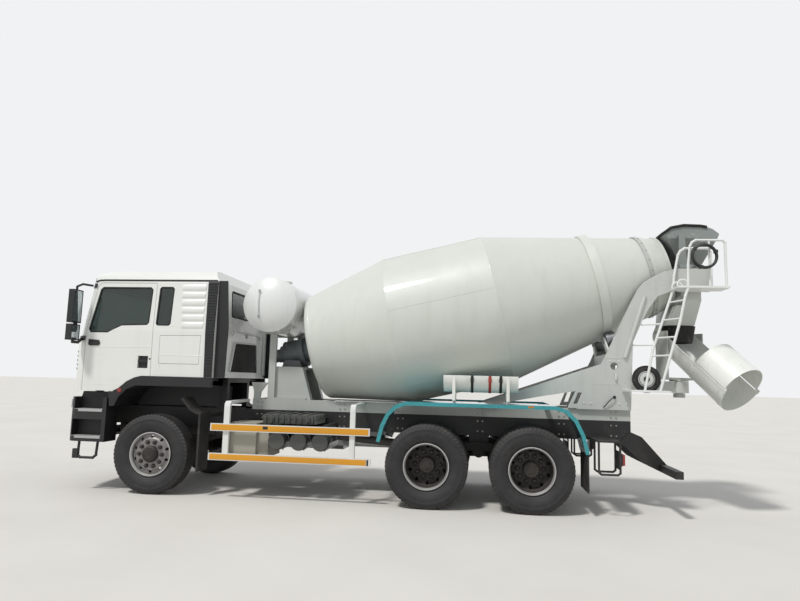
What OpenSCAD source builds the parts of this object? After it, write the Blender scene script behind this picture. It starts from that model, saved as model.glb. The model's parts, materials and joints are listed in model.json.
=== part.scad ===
// Concrete mixer truck, three axles, drum charged from the rear.
// Millimetres. Nose toward -X, left side toward -Y, ground at Z = 0.
// Inside each part X is counted from the front axle; place() moves it to the box centre.

/* [Chassis] */
// Front axle to first rear axle
wheelbase = 3825; // [3400:5:4300]
// First to second rear axle
bogie = 1350; // [1250:5:1450]
// Top of the chassis rails
rail_top = 1165; // [1100:5:1250]
// Height of a chassis rail
rail_h = 265; // [220:5:300]
// Half distance between the outer faces of the rails
rail_y = 450; // [400:5:480]
// Rear end of the rails, behind the front axle
rail_end = 6560; // [6200:10:6800]

/* [Wheels] */
// Tyre radius
tyre_r = 542; // [500:1:560]
// Tyre section width
tyre_w = 300; // [260:1:330]
// Rim flange radius
rim_r = 298; // [285:1:305]
// Tyre centre of a front wheel from the middle
front_y = 1015; // [980:1:1050]
// Outer tyre centre of a rear pair from the middle
rear_y = 1090; // [1050:1:1100]
// Spacing of the twin tyres
twin = 340; // [320:1:350]

/* [Cab] */
// Width of the cab
cab_w = 2240; // [2100:10:2400]
// Front of the cab at the middle
cab_front = -1370; // [-1450:5:-1300]
// Roof height
cab_top = 3178; // [3000:5:3300]
// Wall thickness of cab and doors
wall = 40; // [30:1:50]
// Rake of the windscreen in degrees
screen_rake = 11.4; // [8:0.1:16]

/* [Drum] */
// Slope of the drum axis in degrees
drum_tilt = 13.17; // [10:0.01:16]
// Drum head centre behind the front axle
drum_x = 2070; // [2000:5:2200]
// Drum head centre height
drum_z = 2121; // [2050:1:2200]
// Largest drum radius
drum_r = 1105; // [1000:1:1150]
// Drum length along its axis
drum_l = 5193; // [4800:1:5400]
// Mouth radius
mouth_r = 519; // [480:1:560]
// Distance of the track ring from the head
ring_u = 4169; // [4000:1:4300]
// Outer radius of the track ring
ring_r = 800; // [760:1:830]
// Roller radius
roller_r = 115; // [90:1:130]

/* [Water tank] */
// Tank radius
tank_r = 400; // [350:5:420]
// Tank centre behind the front axle
tank_x = 1455; // [1400:5:1500]
// Tank centre height
tank_z = 2690; // [2650:5:2750]
// Half length of the tank's straight barrel
tank_half = 715; // [600:5:850]

/* [Chute] */
// Swing of the chute to the left of straight back, degrees
swing = 55; // [0:1:80]
// Slope of the chute, degrees
slope = 40.6; // [25:0.1:50]
// Slewing axis behind the front axle
slew_x = 7340; // [7250:5:7400]
// Height of the chute rim line over the slewing axis
rim_z = 2430; // [2350:5:2500]
// Top of the arm that carries the chute
arm_top = 1725; // [1690:5:1735]
// Chute outer radius
chute_r = 325; // [280:1:340]
// Length of the chute below the slewing axis
chute_l = 1270; // [1200:5:1600]
// Length of the folded end piece
fold_l = 530; // [350:5:600]

/* [Hidden] */
$fn = 64;
front_x = -1400;
ext_r = chute_r + 6;
ext_lift = 14;
fold_x = chute_l - 17;
// Half width and top of the chute's hinge ears, which reach rearmost.
ear_out = chute_r + 22;
ear_top = 25;
rear_x = slew_x + cos(slope) * cos(swing) * (chute_l + 1) + sin(swing) * ear_out
    + sin(slope) * cos(swing) * ear_top;
mid_x = (front_x + rear_x) / 2;
half_w = cab_w / 2;
mid_axle = wheelbase;
last_axle = wheelbase + bogie;
// Middle of the bogie.
trunnion = wheelbase + bogie / 2;
rail_bot = rail_top - rail_h;
sub_top = 1320;
fit = 0.05;
spindle_r = 60;
kingpin_y = 880;
lean = 7.2;
roller_a = 27;
big = 9000;

// Helpers

module place() {
    translate([-mid_x, 0, 0]) children();
}

module both() {
    children();
    mirror([0, 1, 0]) children();
}

module box(x0, x1, y0, y1, z0, z1) {
    translate([x0, y0, z0]) cube([x1 - x0, y1 - y0, z1 - z0]);
}

// Profile in X and Z, thickness t from y.
module slab(pts, y, t) {
    translate([0, y + t, 0]) rotate([90, 0, 0]) linear_extrude(t) polygon(pts);
}

// Profile in Y and Z, thickness t from x.
module wall_x(pts, x, t) {
    translate([x, 0, 0]) rotate([90, 0, 90]) linear_extrude(t) polygon(pts);
}

module rod(a, b, r) {
    v = b - a;
    l = norm(v);
    translate(a) rotate([0, acos(v[2] / l), atan2(v[1], v[0])]) cylinder(h = l, r = r);
}

module rail(path, r, ball = 1.04) {
    for (i = [0 : len(path) - 2]) rod(path[i], path[i + 1], r);
    for (i = [1 : len(path) - 2]) translate(path[i]) sphere(r * ball);
}

module barrel(x, z, y0, y1, r) {
    translate([x, y1, z]) rotate([90, 0, 0]) cylinder(h = y1 - y0, r = r);
}

// Drum frame: local Z along the axis, local X down and forward.
module drum_frame() {
    translate([drum_x, 0, drum_z]) rotate([0, 90 - drum_tilt, 0]) children();
}

// Chute frame: local X down the chute, local Y across, local Z out of the trough.
module chute_frame() {
    translate([slew_x, 0, rim_z]) rotate([0, 0, -swing]) rotate([0, slope, 0]) children();
}

// Chassis parts

module chassis_frame() {
    color("#1c1d1e") place() {
        both() difference() {
            box(-1150, rail_end, -rail_y, -rail_y + 85, rail_bot, rail_top);
            box(-1160, rail_end + 10, -rail_y + 10, -rail_y + 95, rail_bot + 10, rail_top - 10);
        }
        for (x = [-1150, 1700, 2300, 3300, 4450, 5700, 6500])
            box(x, x + 60, -rail_y + 10, rail_y - 10, rail_bot + 40, rail_top - 40);
        // Cab mounts
        both() {
            box(-1330, -1150, -rail_y, -rail_y + 60, 1080, 1165);
            difference() {
                slab([[-1345, 1080], [-1150, 1080], [-1150, 1165], [-1250, 1372],
                    [-1315, 1372], [-1345, 1338]], -rail_y, 40);
                barrel(-1300, 1340, -rail_y - 5, -rail_y + 60, 25 + fit);
            }
            box(700, 780, -rail_y, -rail_y + 85, rail_top, 1545);
        }
        box(700, 780, -rail_y, rail_y, 1540, 1609.7);
        // Rear trunnion brackets
        both() translate([trunnion, 0, 0]) slab([[-150, rail_bot + 20], [150, rail_bot + 20],
            [80, 620], [-80, 620]], -rail_y - 20, 20);
    }
}

module engine() {
    color("#3c3f41") place() {
        box(-700, -400, -300, 300, 760, 1360);
        box(-400, 560, -300, 300, 760, 1480);
        box(560, 820, -260, 260, 720, 1150);
        box(820, 1500, -200, 200, 740, 1120);
        box(-850, -760, -355, 355, 700, 1300);
        box(-760, -700, -200, 200, 850, 1200);
        both() box(-300, -200, -rail_y + 10, -300, 940, 1060);
        both() box(1300, 1380, -rail_y + 10, -200, 940, 1040);
        rod([1500, 0, 850], [3560, 0, 690], 58);
    }
}

module front_axle() {
    color("#26282a") place() {
        box(-45, 45, -700, 700, 400, 500);
        both() {
            slab_axle();
            // Leaf spring
            slab([[-820, 800], [-400, 705], [0, 680], [400, 705], [820, 800], [820, 760],
                [400, 645], [0, 600], [-400, 645], [-820, 760]], -480, 80);
            box(-100, 100, -490, -390, 500, 610);
            box(-860, -780, -470, -400, 760, rail_bot);
            box(780, 860, -470, -400, 760, rail_bot);
        }
    }
}

module slab_axle() {
    difference() {
        union() {
            wall_x([[-kingpin_y, 480], [-kingpin_y, 600], [-800, 600], [-690, 500],
                [-690, 400], [-808, 480]], -45, 90);
            translate([0, -kingpin_y, 480]) cylinder(h = 120, r = 62);
        }
        translate([0, -kingpin_y, 300]) cylinder(h = 600, r = 25 + fit);
    }
}

module knuckle() {
    difference() {
        union() {
            translate([0, -kingpin_y, 606]) cylinder(h = 50, r = 62);
            translate([0, -kingpin_y, 424]) cylinder(h = 50, r = 62);
            box(-60, 60, -975, -950, 424, 656);
            box(-60, 60, -950, -kingpin_y, 606, 656);
            box(-60, 60, -950, -kingpin_y, 424, 474);
        }
        translate([0, -kingpin_y, 474 + 3]) cylinder(h = 126, r = 66);
    }
    translate([0, -kingpin_y, 424]) cylinder(h = 232, r = 25);
    barrel(0, tyre_r, -1062, -975, spindle_r);
    barrel(0, tyre_r, -975, -960, 170);
    box(60, 220, -940, -900, 430, 465);
}

module knuckle_left() {
    color("#2b2d2f") place() knuckle();
}

module knuckle_right() {
    color("#2b2d2f") place() mirror([0, 1, 0]) knuckle();
}

// Tyre around local Z, centred.
module tyre_shape() {
    w = tyre_w / 2;
    rotate_extrude($fn = 96) polygon([[rim_r - 12, -w + 38], [rim_r + 22, -w + 34],
        [rim_r + 70, -w + 8], [rim_r + 115, -w], [rim_r + 160, -w + 4], [tyre_r - 38, -w + 14],
        [tyre_r - 16, -w + 20], [tyre_r - 3, -w + 30], [tyre_r, -w + 60], [tyre_r, w - 60],
        [tyre_r - 3, w - 30], [tyre_r - 16, w - 20], [tyre_r - 38, w - 14],
        [rim_r + 160, w - 4], [rim_r + 115, w], [rim_r + 70, w - 8], [rim_r + 22, w - 34],
        [rim_r - 12, w - 38]]);
}

module at_wheel(x, y) {
    translate([x, y, tyre_r]) rotate([90, 0, 0]) children();
}

module tyre_pair(x, side) {
    for (d = [0, twin]) at_wheel(x, side * (rear_y - d)) tyre_shape();
}

module tyre_front_left() { color("#17181a") place() at_wheel(0, -front_y) tyre_shape(); }
module tyre_front_right() { color("#17181a") place() at_wheel(0, front_y) tyre_shape(); }
module tyres_mid_left() { color("#17181a") place() tyre_pair(mid_axle, -1); }
module tyres_mid_right() { color("#17181a") place() tyre_pair(mid_axle, 1); }
module tyres_rear_left() { color("#17181a") place() tyre_pair(last_axle, -1); }
module tyres_rear_right() { color("#17181a") place() tyre_pair(last_axle, 1); }

// Rim barrel around local Z, outer side toward +Z.
module barrel_shape() {
    w = 128;
    rotate_extrude($fn = 96) polygon([[rim_r, -w], [rim_r, -w + 10], [rim_r - 12, -w + 16],
        [rim_r - 12, w - 16], [rim_r, w - 10], [rim_r, w], [rim_r - 10, w], [rim_r - 26, w - 22],
        [rim_r - 26, -w + 22], [rim_r - 10, -w]]);
}

disc_seat = rim_r - 20;

module vent_holes(z) {
    for (i = [0 : 9]) rotate([0, 0, i * 36 + 18]) translate([238, 0, z - 150])
        cylinder(h = 300, r = 22);
}

module wheel_nuts(z) {
    for (i = [0 : 9]) rotate([0, 0, i * 36]) translate([167, 0, z - 1])
        cylinder(h = 27, r = 16, $fn = 6);
}

// Front disc from the hub to the barrel; h is the height of its bolt face over the middle.
module disc_shape(h, foot) {
    difference() {
        rotate_extrude($fn = 96) polygon([[spindle_r + 40, h - 16], [208, h - 16],
            [232, h - 40], [disc_seat - 10, foot - 10], [disc_seat, foot - 10],
            [disc_seat, foot + 8], [238, h - 22], [212, h], [spindle_r + 40, h]]);
        vent_holes(h);
    }
    wheel_nuts(h);
}

// Two dished discs, bolted back to back at the middle of the pair.
module twin_discs(h, foot) {
    m = -twin / 2;
    rise = foot - m;
    difference() {
        rotate_extrude($fn = 96) polygon([[100, m - h], [206, m - h], [240, m - h - 22],
            [disc_seat, m - rise - 8], [disc_seat, m - rise + 12], [250, m - h - 8], [214, m],
            [250, m + h + 8], [disc_seat, m + rise - 12], [disc_seat, m + rise + 8],
            [240, m + h + 22], [206, m + h], [100, m + h]]);
        vent_holes(m);
    }
    wheel_nuts(m + h);
}

module rim_front() {
    barrel_shape();
    disc_shape(108, 70);
    difference() {
        union() {
            translate([0, 0, -35]) cylinder(h = 180, r = spindle_r + 44);
            translate([0, 0, 145]) cylinder(h = 20, r = spindle_r + 24);
        }
        translate([0, 0, -46]) cylinder(h = 96, r = spindle_r + fit);
    }
}

module rims_rear() {
    barrel_shape();
    translate([0, 0, -twin]) barrel_shape();
    twin_discs(16, -60);
    difference() {
        union() {
            translate([0, 0, -twin / 2 - 60]) cylinder(h = 200, r = 104);
            translate([0, 0, -twin / 2 + 140]) cylinder(h = 24, r = 82);
        }
        translate([0, 0, -twin / 2 - 61]) cylinder(h = 120, r = spindle_r + fit);
    }
}

// Local +Z of a left wheel looks to -Y.
module at_left(x, y) {
    translate([x, -y, tyre_r]) rotate([90, 0, 0]) children();
}

module rim_front_left() { color("#9a9c9e") place() at_left(0, front_y) rim_front(); }
module rim_front_right() {
    color("#9a9c9e") place() mirror([0, 1, 0]) at_left(0, front_y) rim_front();
}
module rims_mid_left() { color("#9a9c9e") place() at_left(mid_axle, rear_y) rims_rear(); }
module rims_mid_right() {
    color("#9a9c9e") place() mirror([0, 1, 0]) at_left(mid_axle, rear_y) rims_rear();
}
module rims_rear_left() { color("#9a9c9e") place() at_left(last_axle, rear_y) rims_rear(); }
module rims_rear_right() {
    color("#9a9c9e") place() mirror([0, 1, 0]) at_left(last_axle, rear_y) rims_rear();
}

module rear_axles() {
    color("#26282a") place() for (x = [mid_axle, last_axle]) {
        barrel(x, tyre_r, -830, 830, 80);
        translate([x, 0, tyre_r + 10]) sphere(210);
        rod([x - 240, 0, 640], [x, 0, 600], 110);
        rod([x - 265, 0, 640], [x, 0, 600], 40);
        both() {
            barrel(x, tyre_r, -960, -830, spindle_r);
            barrel(x, tyre_r, -830, -650, 215);
            box(x - 90, x + 90, -570, -460, tyre_r + 60, 650);
        }
    }
    color("#26282a") place() rod([mid_axle + 100, 0, 600], [last_axle - 150, 0, 615], 42);
}

module rear_springs() {
    color("#232527") place() {
        both() {
            slab([[mid_axle - 80, 650], [mid_axle + 80, 650], [trunnion - 300, 690],
                [trunnion, 710], [trunnion + 300, 690], [last_axle - 80, 650],
                [last_axle + 80, 650], [last_axle + 80, 690], [last_axle - 75, 700],
                [trunnion + 300, 780], [trunnion, 830], [trunnion - 300, 780],
                [mid_axle + 75, 700], [mid_axle - 80, 690]], -570, 90);
            barrel(trunnion, 680, -575, -470, 70);
        }
        box(trunnion - 60, trunnion + 60, -rail_y, rail_y, 680, 780);
    }
}

module air_tanks() {
    color("#3d4042") place() {
        for (x = [1795, 2095, 2395]) {
            barrel(x, 790, -1110, -560, 125);
            translate([x, -1110, 790]) intersection() {
                sphere(125);
                translate([-130, -60, -130]) cube([260, 260, 260]);
            }
            box(x - 20, x + 20, -1000, -960, 900, 960);
            box(x - 20, x + 20, -700, -660, 900, 960);
        }
        box(1700, 2500, -1010, -950, 940, 970);
        box(1700, 2500, -710, -650, 940, 970);
        box(1740, 1800, -1010, -rail_y, 970, 1010);
        box(2400, 2460, -1010, -rail_y, 970, 1010);
    }
}

module side_boxes() {
    color("#8d8c84") place() {
        box(1120, 1500, -1130, -560, 560, 1010);
        box(1510, 1660, -1080, -560, 560, 940);
        box(1500, 1510, -1080, -560, 600, 900);
        box(1200, 1260, -560, -rail_y, 940, 1000);
        box(1560, 1620, -560, -rail_y, 880, 930);
        // Battery box and its ribbed lid
        box(1560, 2300, -1060, -500, 1012, 1080);
        box(1600, 1660, -500, -rail_y, 1012, 1060);
        box(2200, 2260, -500, -rail_y, 1012, 1060);
        slab([[1540, 1080], [2320, 1080], [2290, 1130], [1570, 1130]], -1070, 580);
        for (i = [0 : 4]) box(1610 + i * 140, 1640 + i * 140, -1070, -490, 1130, 1145);
    }
}

module fuel_tank() {
    color("#a8abad") place() {
        intersection() {
            box(1150, mid_axle - 1475, 560, 1130, 520, 1090);
            translate([0, 845, 805]) rotate([0, 90, 0]) cylinder(h = wheelbase, r = 360);
        }
        for (x = [1350, mid_axle - 1725]) {
            box(x, x + 60, rail_y, 580, 700, 1000);
        }
        translate([1400, 900, 1080]) cylinder(h = 40, r = 50);
    }
}

module silencer() {
    color("#6d7072") place() translate([mid_axle, 0, 0]) {
        box(-1375, -825, 560, 1130, 620, 1080);
        box(-1325, -1265, rail_y, 560, 940, 1010);
        box(-945, -885, rail_y, 560, 940, 1010);
        rod([-825, 900, 800], [-715, 900, 760], 55);
    }
}

module side_guards() {
    color("#e2a21c") place() both() {
        box(888, mid_axle - 745, -1240, -1210, 900, 1000);
        box(880, mid_axle - 728, -1240, -1210, 513, 607);
        // X and width of each post
        for (p = [[1060, 80], [mid_axle - 1020, 70]]) {
            box(p[0], p[0] + p[1], -1210, -1165, 560, 1230);
            wall_x([[-1210, 1230], [-1165, 1230], [-1145, 1262], [-rail_y, 1275],
                [-rail_y, 1312], [-1160, 1300], [-1200, 1270]], p[0], p[1]);
        }
    }
}

// X and Z of the fender's edges, its front part from the first axle and its rear part from
// the last.
function over_bogie(front, rear) = concat([for (p = front) [mid_axle + p[0], p[1]]],
    [for (p = rear) [last_axle + p[0], p[1]]]);
function under_bogie(rear, front) = concat([for (p = rear) [last_axle + p[0], p[1]]],
    [for (p = front) [mid_axle + p[0], p[1]]]);
fender_out = over_bogie([[-660, 840], [-610, 1050], [-535, 1210], [-425, 1320], [-289, 1365]],
    [[309, 1365], [445, 1320], [565, 1200], [655, 1010], [710, 780]]);
fender_in = under_bogie([[680, 775], [625, 1005], [538, 1183], [427, 1295], [300, 1335]],
    [[-280, 1335], [-405, 1292], [-508, 1190], [-580, 1040], [-629, 835]]);
fender_lip = under_bogie([[663, 772], [608, 998], [525, 1170], [415, 1278], [295, 1316]],
    [[-275, 1316], [-393, 1276], [-493, 1178], [-563, 1030], [-611, 832]]);

module rear_fenders() {
    color("#16a39c") place() both() {
        slab(concat(fender_out, fender_in), -1240, 620);
        slab(concat(fender_out, fender_lip), -1248, 14);
        for (x = [mid_axle - 265, trunnion - 20, last_axle + 225])
            box(x, x + 60, -640, -rail_y, 1290, 1335);
    }
}

module mudflaps() {
    color("#222426") place() both() {
        box(last_axle + 687, last_axle + 703, -1225, -620, 300, 775);
        slab([[420, 1330], [560, 1180], [650, 1130], [700, 1130], [700, 330], [672, 330],
            [672, 1105], [640, 1105], [540, 1155], [395, 1305]], -1150, 320);
        box(672, 700, -840, -rail_y, 1050, 1100);
    }
}

module bumper_plan() {
    r = 5756;
    intersection() {
        translate([front_x + r, 0]) circle(r, $fn = 256);
        union() {
            translate([-1120, -1140]) square([2000, 2280]);
            translate([-1500, -970]) square([2000, 1940]);
            for (s = [-1, 1]) translate([-1120, s * 970]) circle(170);
        }
    }
}

module bumper() {
    color("#1b1d1f") place() {
        difference() {
            translate([0, 0, 678]) linear_extrude(612) bumper_plan();
            box(-1180, 1000, -840, 840, 600, 1400);
            box(-700, 1000, -1300, 1300, 600, 1400);
            box(-1352, -1100, -820, 820, 700, 1400);
            for (s = [-1, 1]) translate([-1500, s * 830 - 130, 1130]) cube([210, 260, 120]);
            // Step wells
            for (s = [-1, 1]) {
                translate([-1215, s * 1100 - 130, 752]) cube([460, 260, 233]);
                translate([-1190, s * 1100 - 130, 1123]) cube([435, 260, 180]);
            }
            // Slots in the front
            for (y = [-640, 190]) box(-1500, -1300, y, y + 450, 800, 920);
        }
        both() box(-1110, -1020, -840, -rail_y, 1090, 1150);
        both() slab([[-1200, 1290], [-720, 1290], [-720, 1370], [-1180, 1370]], -960, 120);
        // Hanging entry step
        both() {
            rail([[-1100, -1080, 690], [-1110, -1080, 480], [-1070, -1080, 452],
                [-880, -1080, 452], [-835, -1080, 490], [-820, -1080, 690]], 18, 1.15);
            box(-1180, -1100, -1105, -1055, 440, 570);
        }
    }
}

// Cab parts

// Outer X, Z and the direction in which the inner skin lies.
cab_pts = [[-1500, 1390, 0, 1], [-1500, 2985, 0, 0], [-1160, 2985, 0, -1],
    [-1060, 3060, 0.3, -1], [-900, 3115, 0.2, -1], [-423, cab_top - 4, 0, -1],
    [645, cab_top, 0, -1], [705, 3150, -0.6, -1], [812, 2985, -1, -0.3],
    [812, 1610, -1, 1], [-230, 1610, 0, 1], [-330, 1585, 0, 1], [-440, 1530, 0, 1],
    [-560, 1430, 0, 1.2], [-640, 1390, 0, 1]];

module cab_side(d) {
    polygon([for (p = cab_pts) [p[0] + p[2] * d, p[1] + p[3] * d]]);
}

module cab_plan(d, set) {
    r = 5756;
    rc = 200;
    cx = cab_front + set + rc;
    intersection() {
        translate([cab_front + r, 0]) circle(r - d, $fn = 256);
        union() {
            translate([cx, -half_w - 50]) square([4000, cab_w + 100]);
            translate([-1600, -half_w + rc]) square([5000, cab_w - 2 * rc]);
            for (s = [-1, 1]) translate([cx, s * (half_w - rc + 3)]) circle(rc - d);
        }
    }
}

module cab_section(d) {
    polygon([[-half_w + d, 1000], [-half_w + d, 2250], [-1070 + d, 2950],
        [-1035 + d, 3050 - 0.5 * d], [-930 + 0.5 * d, 3130 - d], [-600, cab_top - d],
        [600, cab_top - d], [930 - 0.5 * d, 3130 - d], [1035 - d, 3050 - 0.5 * d],
        [1070 - d, 2950], [half_w - d, 2250], [half_w - d, 1000]]);
}

module cab_solid(d) {
    intersection() {
        rotate([90, 0, 0]) translate([0, 0, -1500]) linear_extrude(3000) cab_side(d);
        translate([0, 0, 1000]) linear_extrude(2500) cab_plan(d, 70);
        translate([cab_front + 37, 0, 2169]) rotate([0, screen_rake, 0])
            translate([-cab_front, 0, -3000]) linear_extrude(6000) cab_plan(d, 58);
        translate([-1600, 0, 0]) rotate([90, 0, 90]) linear_extrude(3000) cab_section(d);
    }
}

// All that lies inside the side walls.
module cab_core(d) {
    translate([-2000, 0, 0]) rotate([90, 0, 90]) linear_extrude(4000)
        polygon([[-half_w + d, 0], [-half_w + d, 2250], [-1070 + d, 2950], [-1035 + d, 3050],
            [-1000 + d, 4000], [1000 - d, 4000], [1035 - d, 3050], [1070 - d, 2950],
            [half_w - d, 2250], [half_w - d, 0]]);
}

door_pts = [[-1110, 1380, -1, 0], [-1110, 2235, -1, 0], [-1010, 2880, -1, 0.5],
    [-960, 2935, -0.7, 1], [-112, 2935, 1, 1], [-98, 1595, 1, 0], [-90, 1560, 1, 0],
    [-230, 1500, 0, 0], [-640, 1300, 0, 0], [-1110, 1300, -1, 0]];
door_win = [[-1068, 2262], [-960, 2838], [-930, 2868], [-195, 2868], [-170, 2842],
    [-182, 2362], [-205, 2338], [-585, 2325], [-790, 2222], [-1050, 2222]];
quarter_win = [[-62, 2350], [-44, 2332], [122, 2332], [142, 2352], [152, 2856], [134, 2876],
    [-34, 2876], [-52, 2858]];
screen_win = [[-930, 2215], [930, 2215], [965, 2260], [905, 2840], [860, 2885],
    [-860, 2885], [-905, 2840], [-965, 2260]];
rear_win = [[-500, 2525], [500, 2525], [522, 2545], [560, 2872], [540, 2895],
    [-540, 2895], [-560, 2872], [-522, 2545]];

function grow(pts, g) = [for (p = pts) [p[0] + p[2] * g, p[1] + p[3] * g]];

module across(pts) {
    translate([0, 1500, 0]) rotate([90, 0, 0]) linear_extrude(3000) polygon(pts);
}

module cab_shell() {
    color("#eceff0") place() {
        difference() {
            cab_solid(0);
            cab_solid(wall);
            difference() {
                across(grow(door_pts, 6));
                cab_core(wall + 6);
            }
            across(quarter_win);
            translate([-1600, 0, 0]) rotate([90, 0, 90]) linear_extrude(700)
                polygon(screen_win);
            wall_x(rear_win, 700, 300);
        }
        // Floor sill ends and hinge lugs
        both() {
            slab([[-1350, 1400], [-1210, 1400], [-1250, 1310], [-1340, 1310]],
                -rail_y + 41, 40);
            barrel(-1300, 1340, -rail_y, -rail_y + 60, 25);
        }
    }
}

module cab_glass() {
    color("#1d2a2c") place() {
        intersection() {
            difference() {
                cab_solid(10);
                cab_solid(18);
            }
            union() {
                translate([-1600, 0, 0]) rotate([90, 0, 90]) linear_extrude(700)
                    polygon(screen_win);
                wall_x(rear_win, 700, 300);
                across(quarter_win);
            }
        }
    }
}

module door() {
    difference() {
        intersection() {
            cab_solid(0);
            across(grow(door_pts, 0));
            box(-2000, 1000, -1300, -900, 1000, 3500);
        }
        cab_core(wall);
        across(door_win);
        box(-290, -150, -1140, -half_w + 22, 1723, 1887);
    }
    box(-292, -148, -half_w + 4, -half_w + 14, 1800, 1825);
}

module door_left() { color("#eceff0") place() door(); }
module door_right() { color("#eceff0") place() mirror([0, 1, 0]) door(); }

module door_glass() {
    difference() {
        intersection() {
            cab_solid(12);
            across(door_win);
            box(-2000, 1000, -1300, -900, 1000, 3500);
        }
        cab_core(20);
    }
}

module door_glass_left() { color("#20302f") place() door_glass(); }
module door_glass_right() { color("#20302f") place() mirror([0, 1, 0]) door_glass(); }

seat_y = [-790, 290];

module seats() {
    color("#4a4d50") place() for (y = seat_y) {
        slab([[-420, 1900.3], [120, 1900.3], [150, 1960], [-400, 2010]], y, 500);
        slab([[60, 1955], [180, 1955], [290, 2620], [190, 2630]], y + 20, 460);
    }
}

module cab_interior() {
    color("#3a3b3d") place() {
        // Dash
        slab([[-1215, 1430.3], [-1215, 2085], [-1190, 2150], [-1165, 2186], [-960, 2150],
            [-900, 2050], [-950, 1800], [-1010, 1430.3]], -990, 1980);
        // Seat bases
        for (y = seat_y) {
            box(-225, 100, y, y + 500, 1650.3, 1900);
            box(-400, -225, y, y + 500, 1700, 1900);
        }
        box(-220, 400, -240, 240, 1650.3, 1800);
        box(400, 770, -1000, 1000, 1650.3, 2050);
        // Steering column and wheel
        rod([-960, -540, 2000], [-760, -540, 2180], 35);
        translate([-760, -540, 2180]) rotate([0, -48, 0]) {
            rotate_extrude() translate([225, 0]) circle(17, $fn = 24);
            for (a = [0, 120, 240]) rotate([0, 0, a]) rod([0, 0, 0], [222, 0, 0], 12);
            cylinder(h = 25, r = 60, center = true);
        }
    }
}

module grille() {
    color("#17191b") place() {
        difference() {
            intersection() {
                cab_solid(-12);
                box(-1500, -1000, -900, 900, 1440, 2150);
            }
            cab_solid(0);
            for (i = [0 : 4]) box(-1600, -1000, -820, 820, 1480 + i * 95, 1530 + i * 95);
        }
    }
}

module sun_visor() {
    color("#23272a") place() {
        difference() {
            slab([[-1262, 2890], [-1230, 3050], [-1180, 3062], [-1120, 3040], [-1150, 2995],
                [-1195, 2990], [-1222, 2890]], -800, 1600);
            cab_solid(-0.3);
        }
        for (y = [-600, -20, 560]) difference() {
            box(-1200, -1100, y, y + 40, 2960, 3015);
            cab_solid(-0.3);
        }
    }
}

// X and Z of the arch's lower face, from its front foot to the rear.
arch_pts = [[-603, 1183], [-543, 1313], [-433, 1423], [-301, 1479], [690, 1479]];
// The same points on the liner's upper face.
arch_top = [[690, 1497], [-306, 1497], [-445, 1439], [-559, 1325], [-622, 1187]];

module cab_fenders() {
    color("#1e2022") place() both() {
        slab([[812, 1609.7], [-88, 1609.7], [-92, 1603], [-228, 1603], [-326, 1578],
            [-436, 1523], [-556, 1423], [-638, 1383], [-700, 1383], [-668, 1180],
            [-600, 1180], [-540, 1310], [-430, 1420], [-300, 1475], [812, 1475]],
            -half_w - 10, 60);
        slab([[690, 1609.7], [-88, 1609.7], [-88, 1560], [690, 1560]], -half_w + 50, 500);
        // Liner over the wheel and its inner wall
        slab(concat(arch_pts, arch_top), -half_w + 45, 605);
        slab([[-598, 1190], [685, 1190], [685, 1490], [-303, 1490], [-439, 1431],
            [-551, 1319]], -483, 12);
    }
}

module mirrors() {
    color("#141618") place() both() {
        box(-1245, -1160, -1400, -1200, 2330, 2800);
        box(-1245, -1160, -1400, -1210, 2085, 2310);
        box(-1215, -1175, -1290, -1250, 2300, 2340);
        // Arms and their feet on the cab
        difference() {
            union() {
                rail([[-1085, -1088, 2890], [-1190, -1180, 2900], [-1200, -1290, 2850],
                    [-1200, -1290, 2790]], 16);
                rail([[-1182, -1099, 2130], [-1190, -1180, 2060], [-1200, -1290, 2060],
                    [-1200, -1290, 2100]], 20);
                intersection() {
                    cab_solid(-12);
                    union() {
                        box(-1246, -1118, -1300, -1000, 2095, 2160);
                        box(-1150, -1030, -1300, -1000, 2862, 2925);
                    }
                }
            }
            cab_solid(0);
        }
    }
}

module deflectors() {
    color("#1a1c1f") place() both() {
        // Strip on the side wall
        difference() {
            intersection() {
                cab_solid(-14);
                across([[698, 1612], [811.7, 1612], [811.7, 2971], [664, 2971]]);
                box(0, 1000, -1300, -1000, 1500, 3100);
            }
            cab_solid(0);
        }
        slab([[812, 1612], [969, 1612], [985, 2300], [940, 2980], [812, 2980]],
            -1060, 22);
        slab([[812, 1640], [850, 1640], [850, 2950], [812, 2950]], -1060, 60);
    }
}

// Mixer parts

module subframe() {
    color("#8f948f") place() {
        both() box(1180, 6560, -rail_y, -rail_y + 80, rail_top, sub_top);
        for (x = [1180, 2200, 3300, 4400, 5500, 6480])
            box(x, x + 80, -rail_y + 80, rail_y - 80, rail_top + 20, sub_top);
        // Front upright
        both() slab([[1190, sub_top], [1290, sub_top], [1300, 1420], [1400, 1560],
            [1150, 1560], [1190, 1430]], -rail_y, 30);
    }
}

module pedestal() {
    color("#9aa39c") place() {
        both() {
            slab([[1420, sub_top], [1980, sub_top], [1880, 1760], [1840, 1800],
                [1500, 1800], [1470, 1760]], -400, 40);
            slab([[1960, sub_top], [2040, sub_top], [1900, 1790], [1820, 1800]], -400, 120);
            box(1420, 1980, -rail_y, -360, sub_top, sub_top + 25);
            // Tank posts
            slab([[1400, sub_top], [1500, sub_top], [1500, 2285], [1400, 2285]], -450, 50);
            difference() {
                slab([[1230, 2280], [1680, 2280], [1680, 2400], [1230, 2400]], -455, 60);
                barrel(tank_x, tank_z, -500, -300, tank_r);
            }
        }
        box(1500, 1840, -360, 360, 1760, 1800);
        box(1500, 1840, -360, 360, sub_top, 1345);
        box(1660, 1700, -360, 360, 1345, 1760);
    }
}

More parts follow.
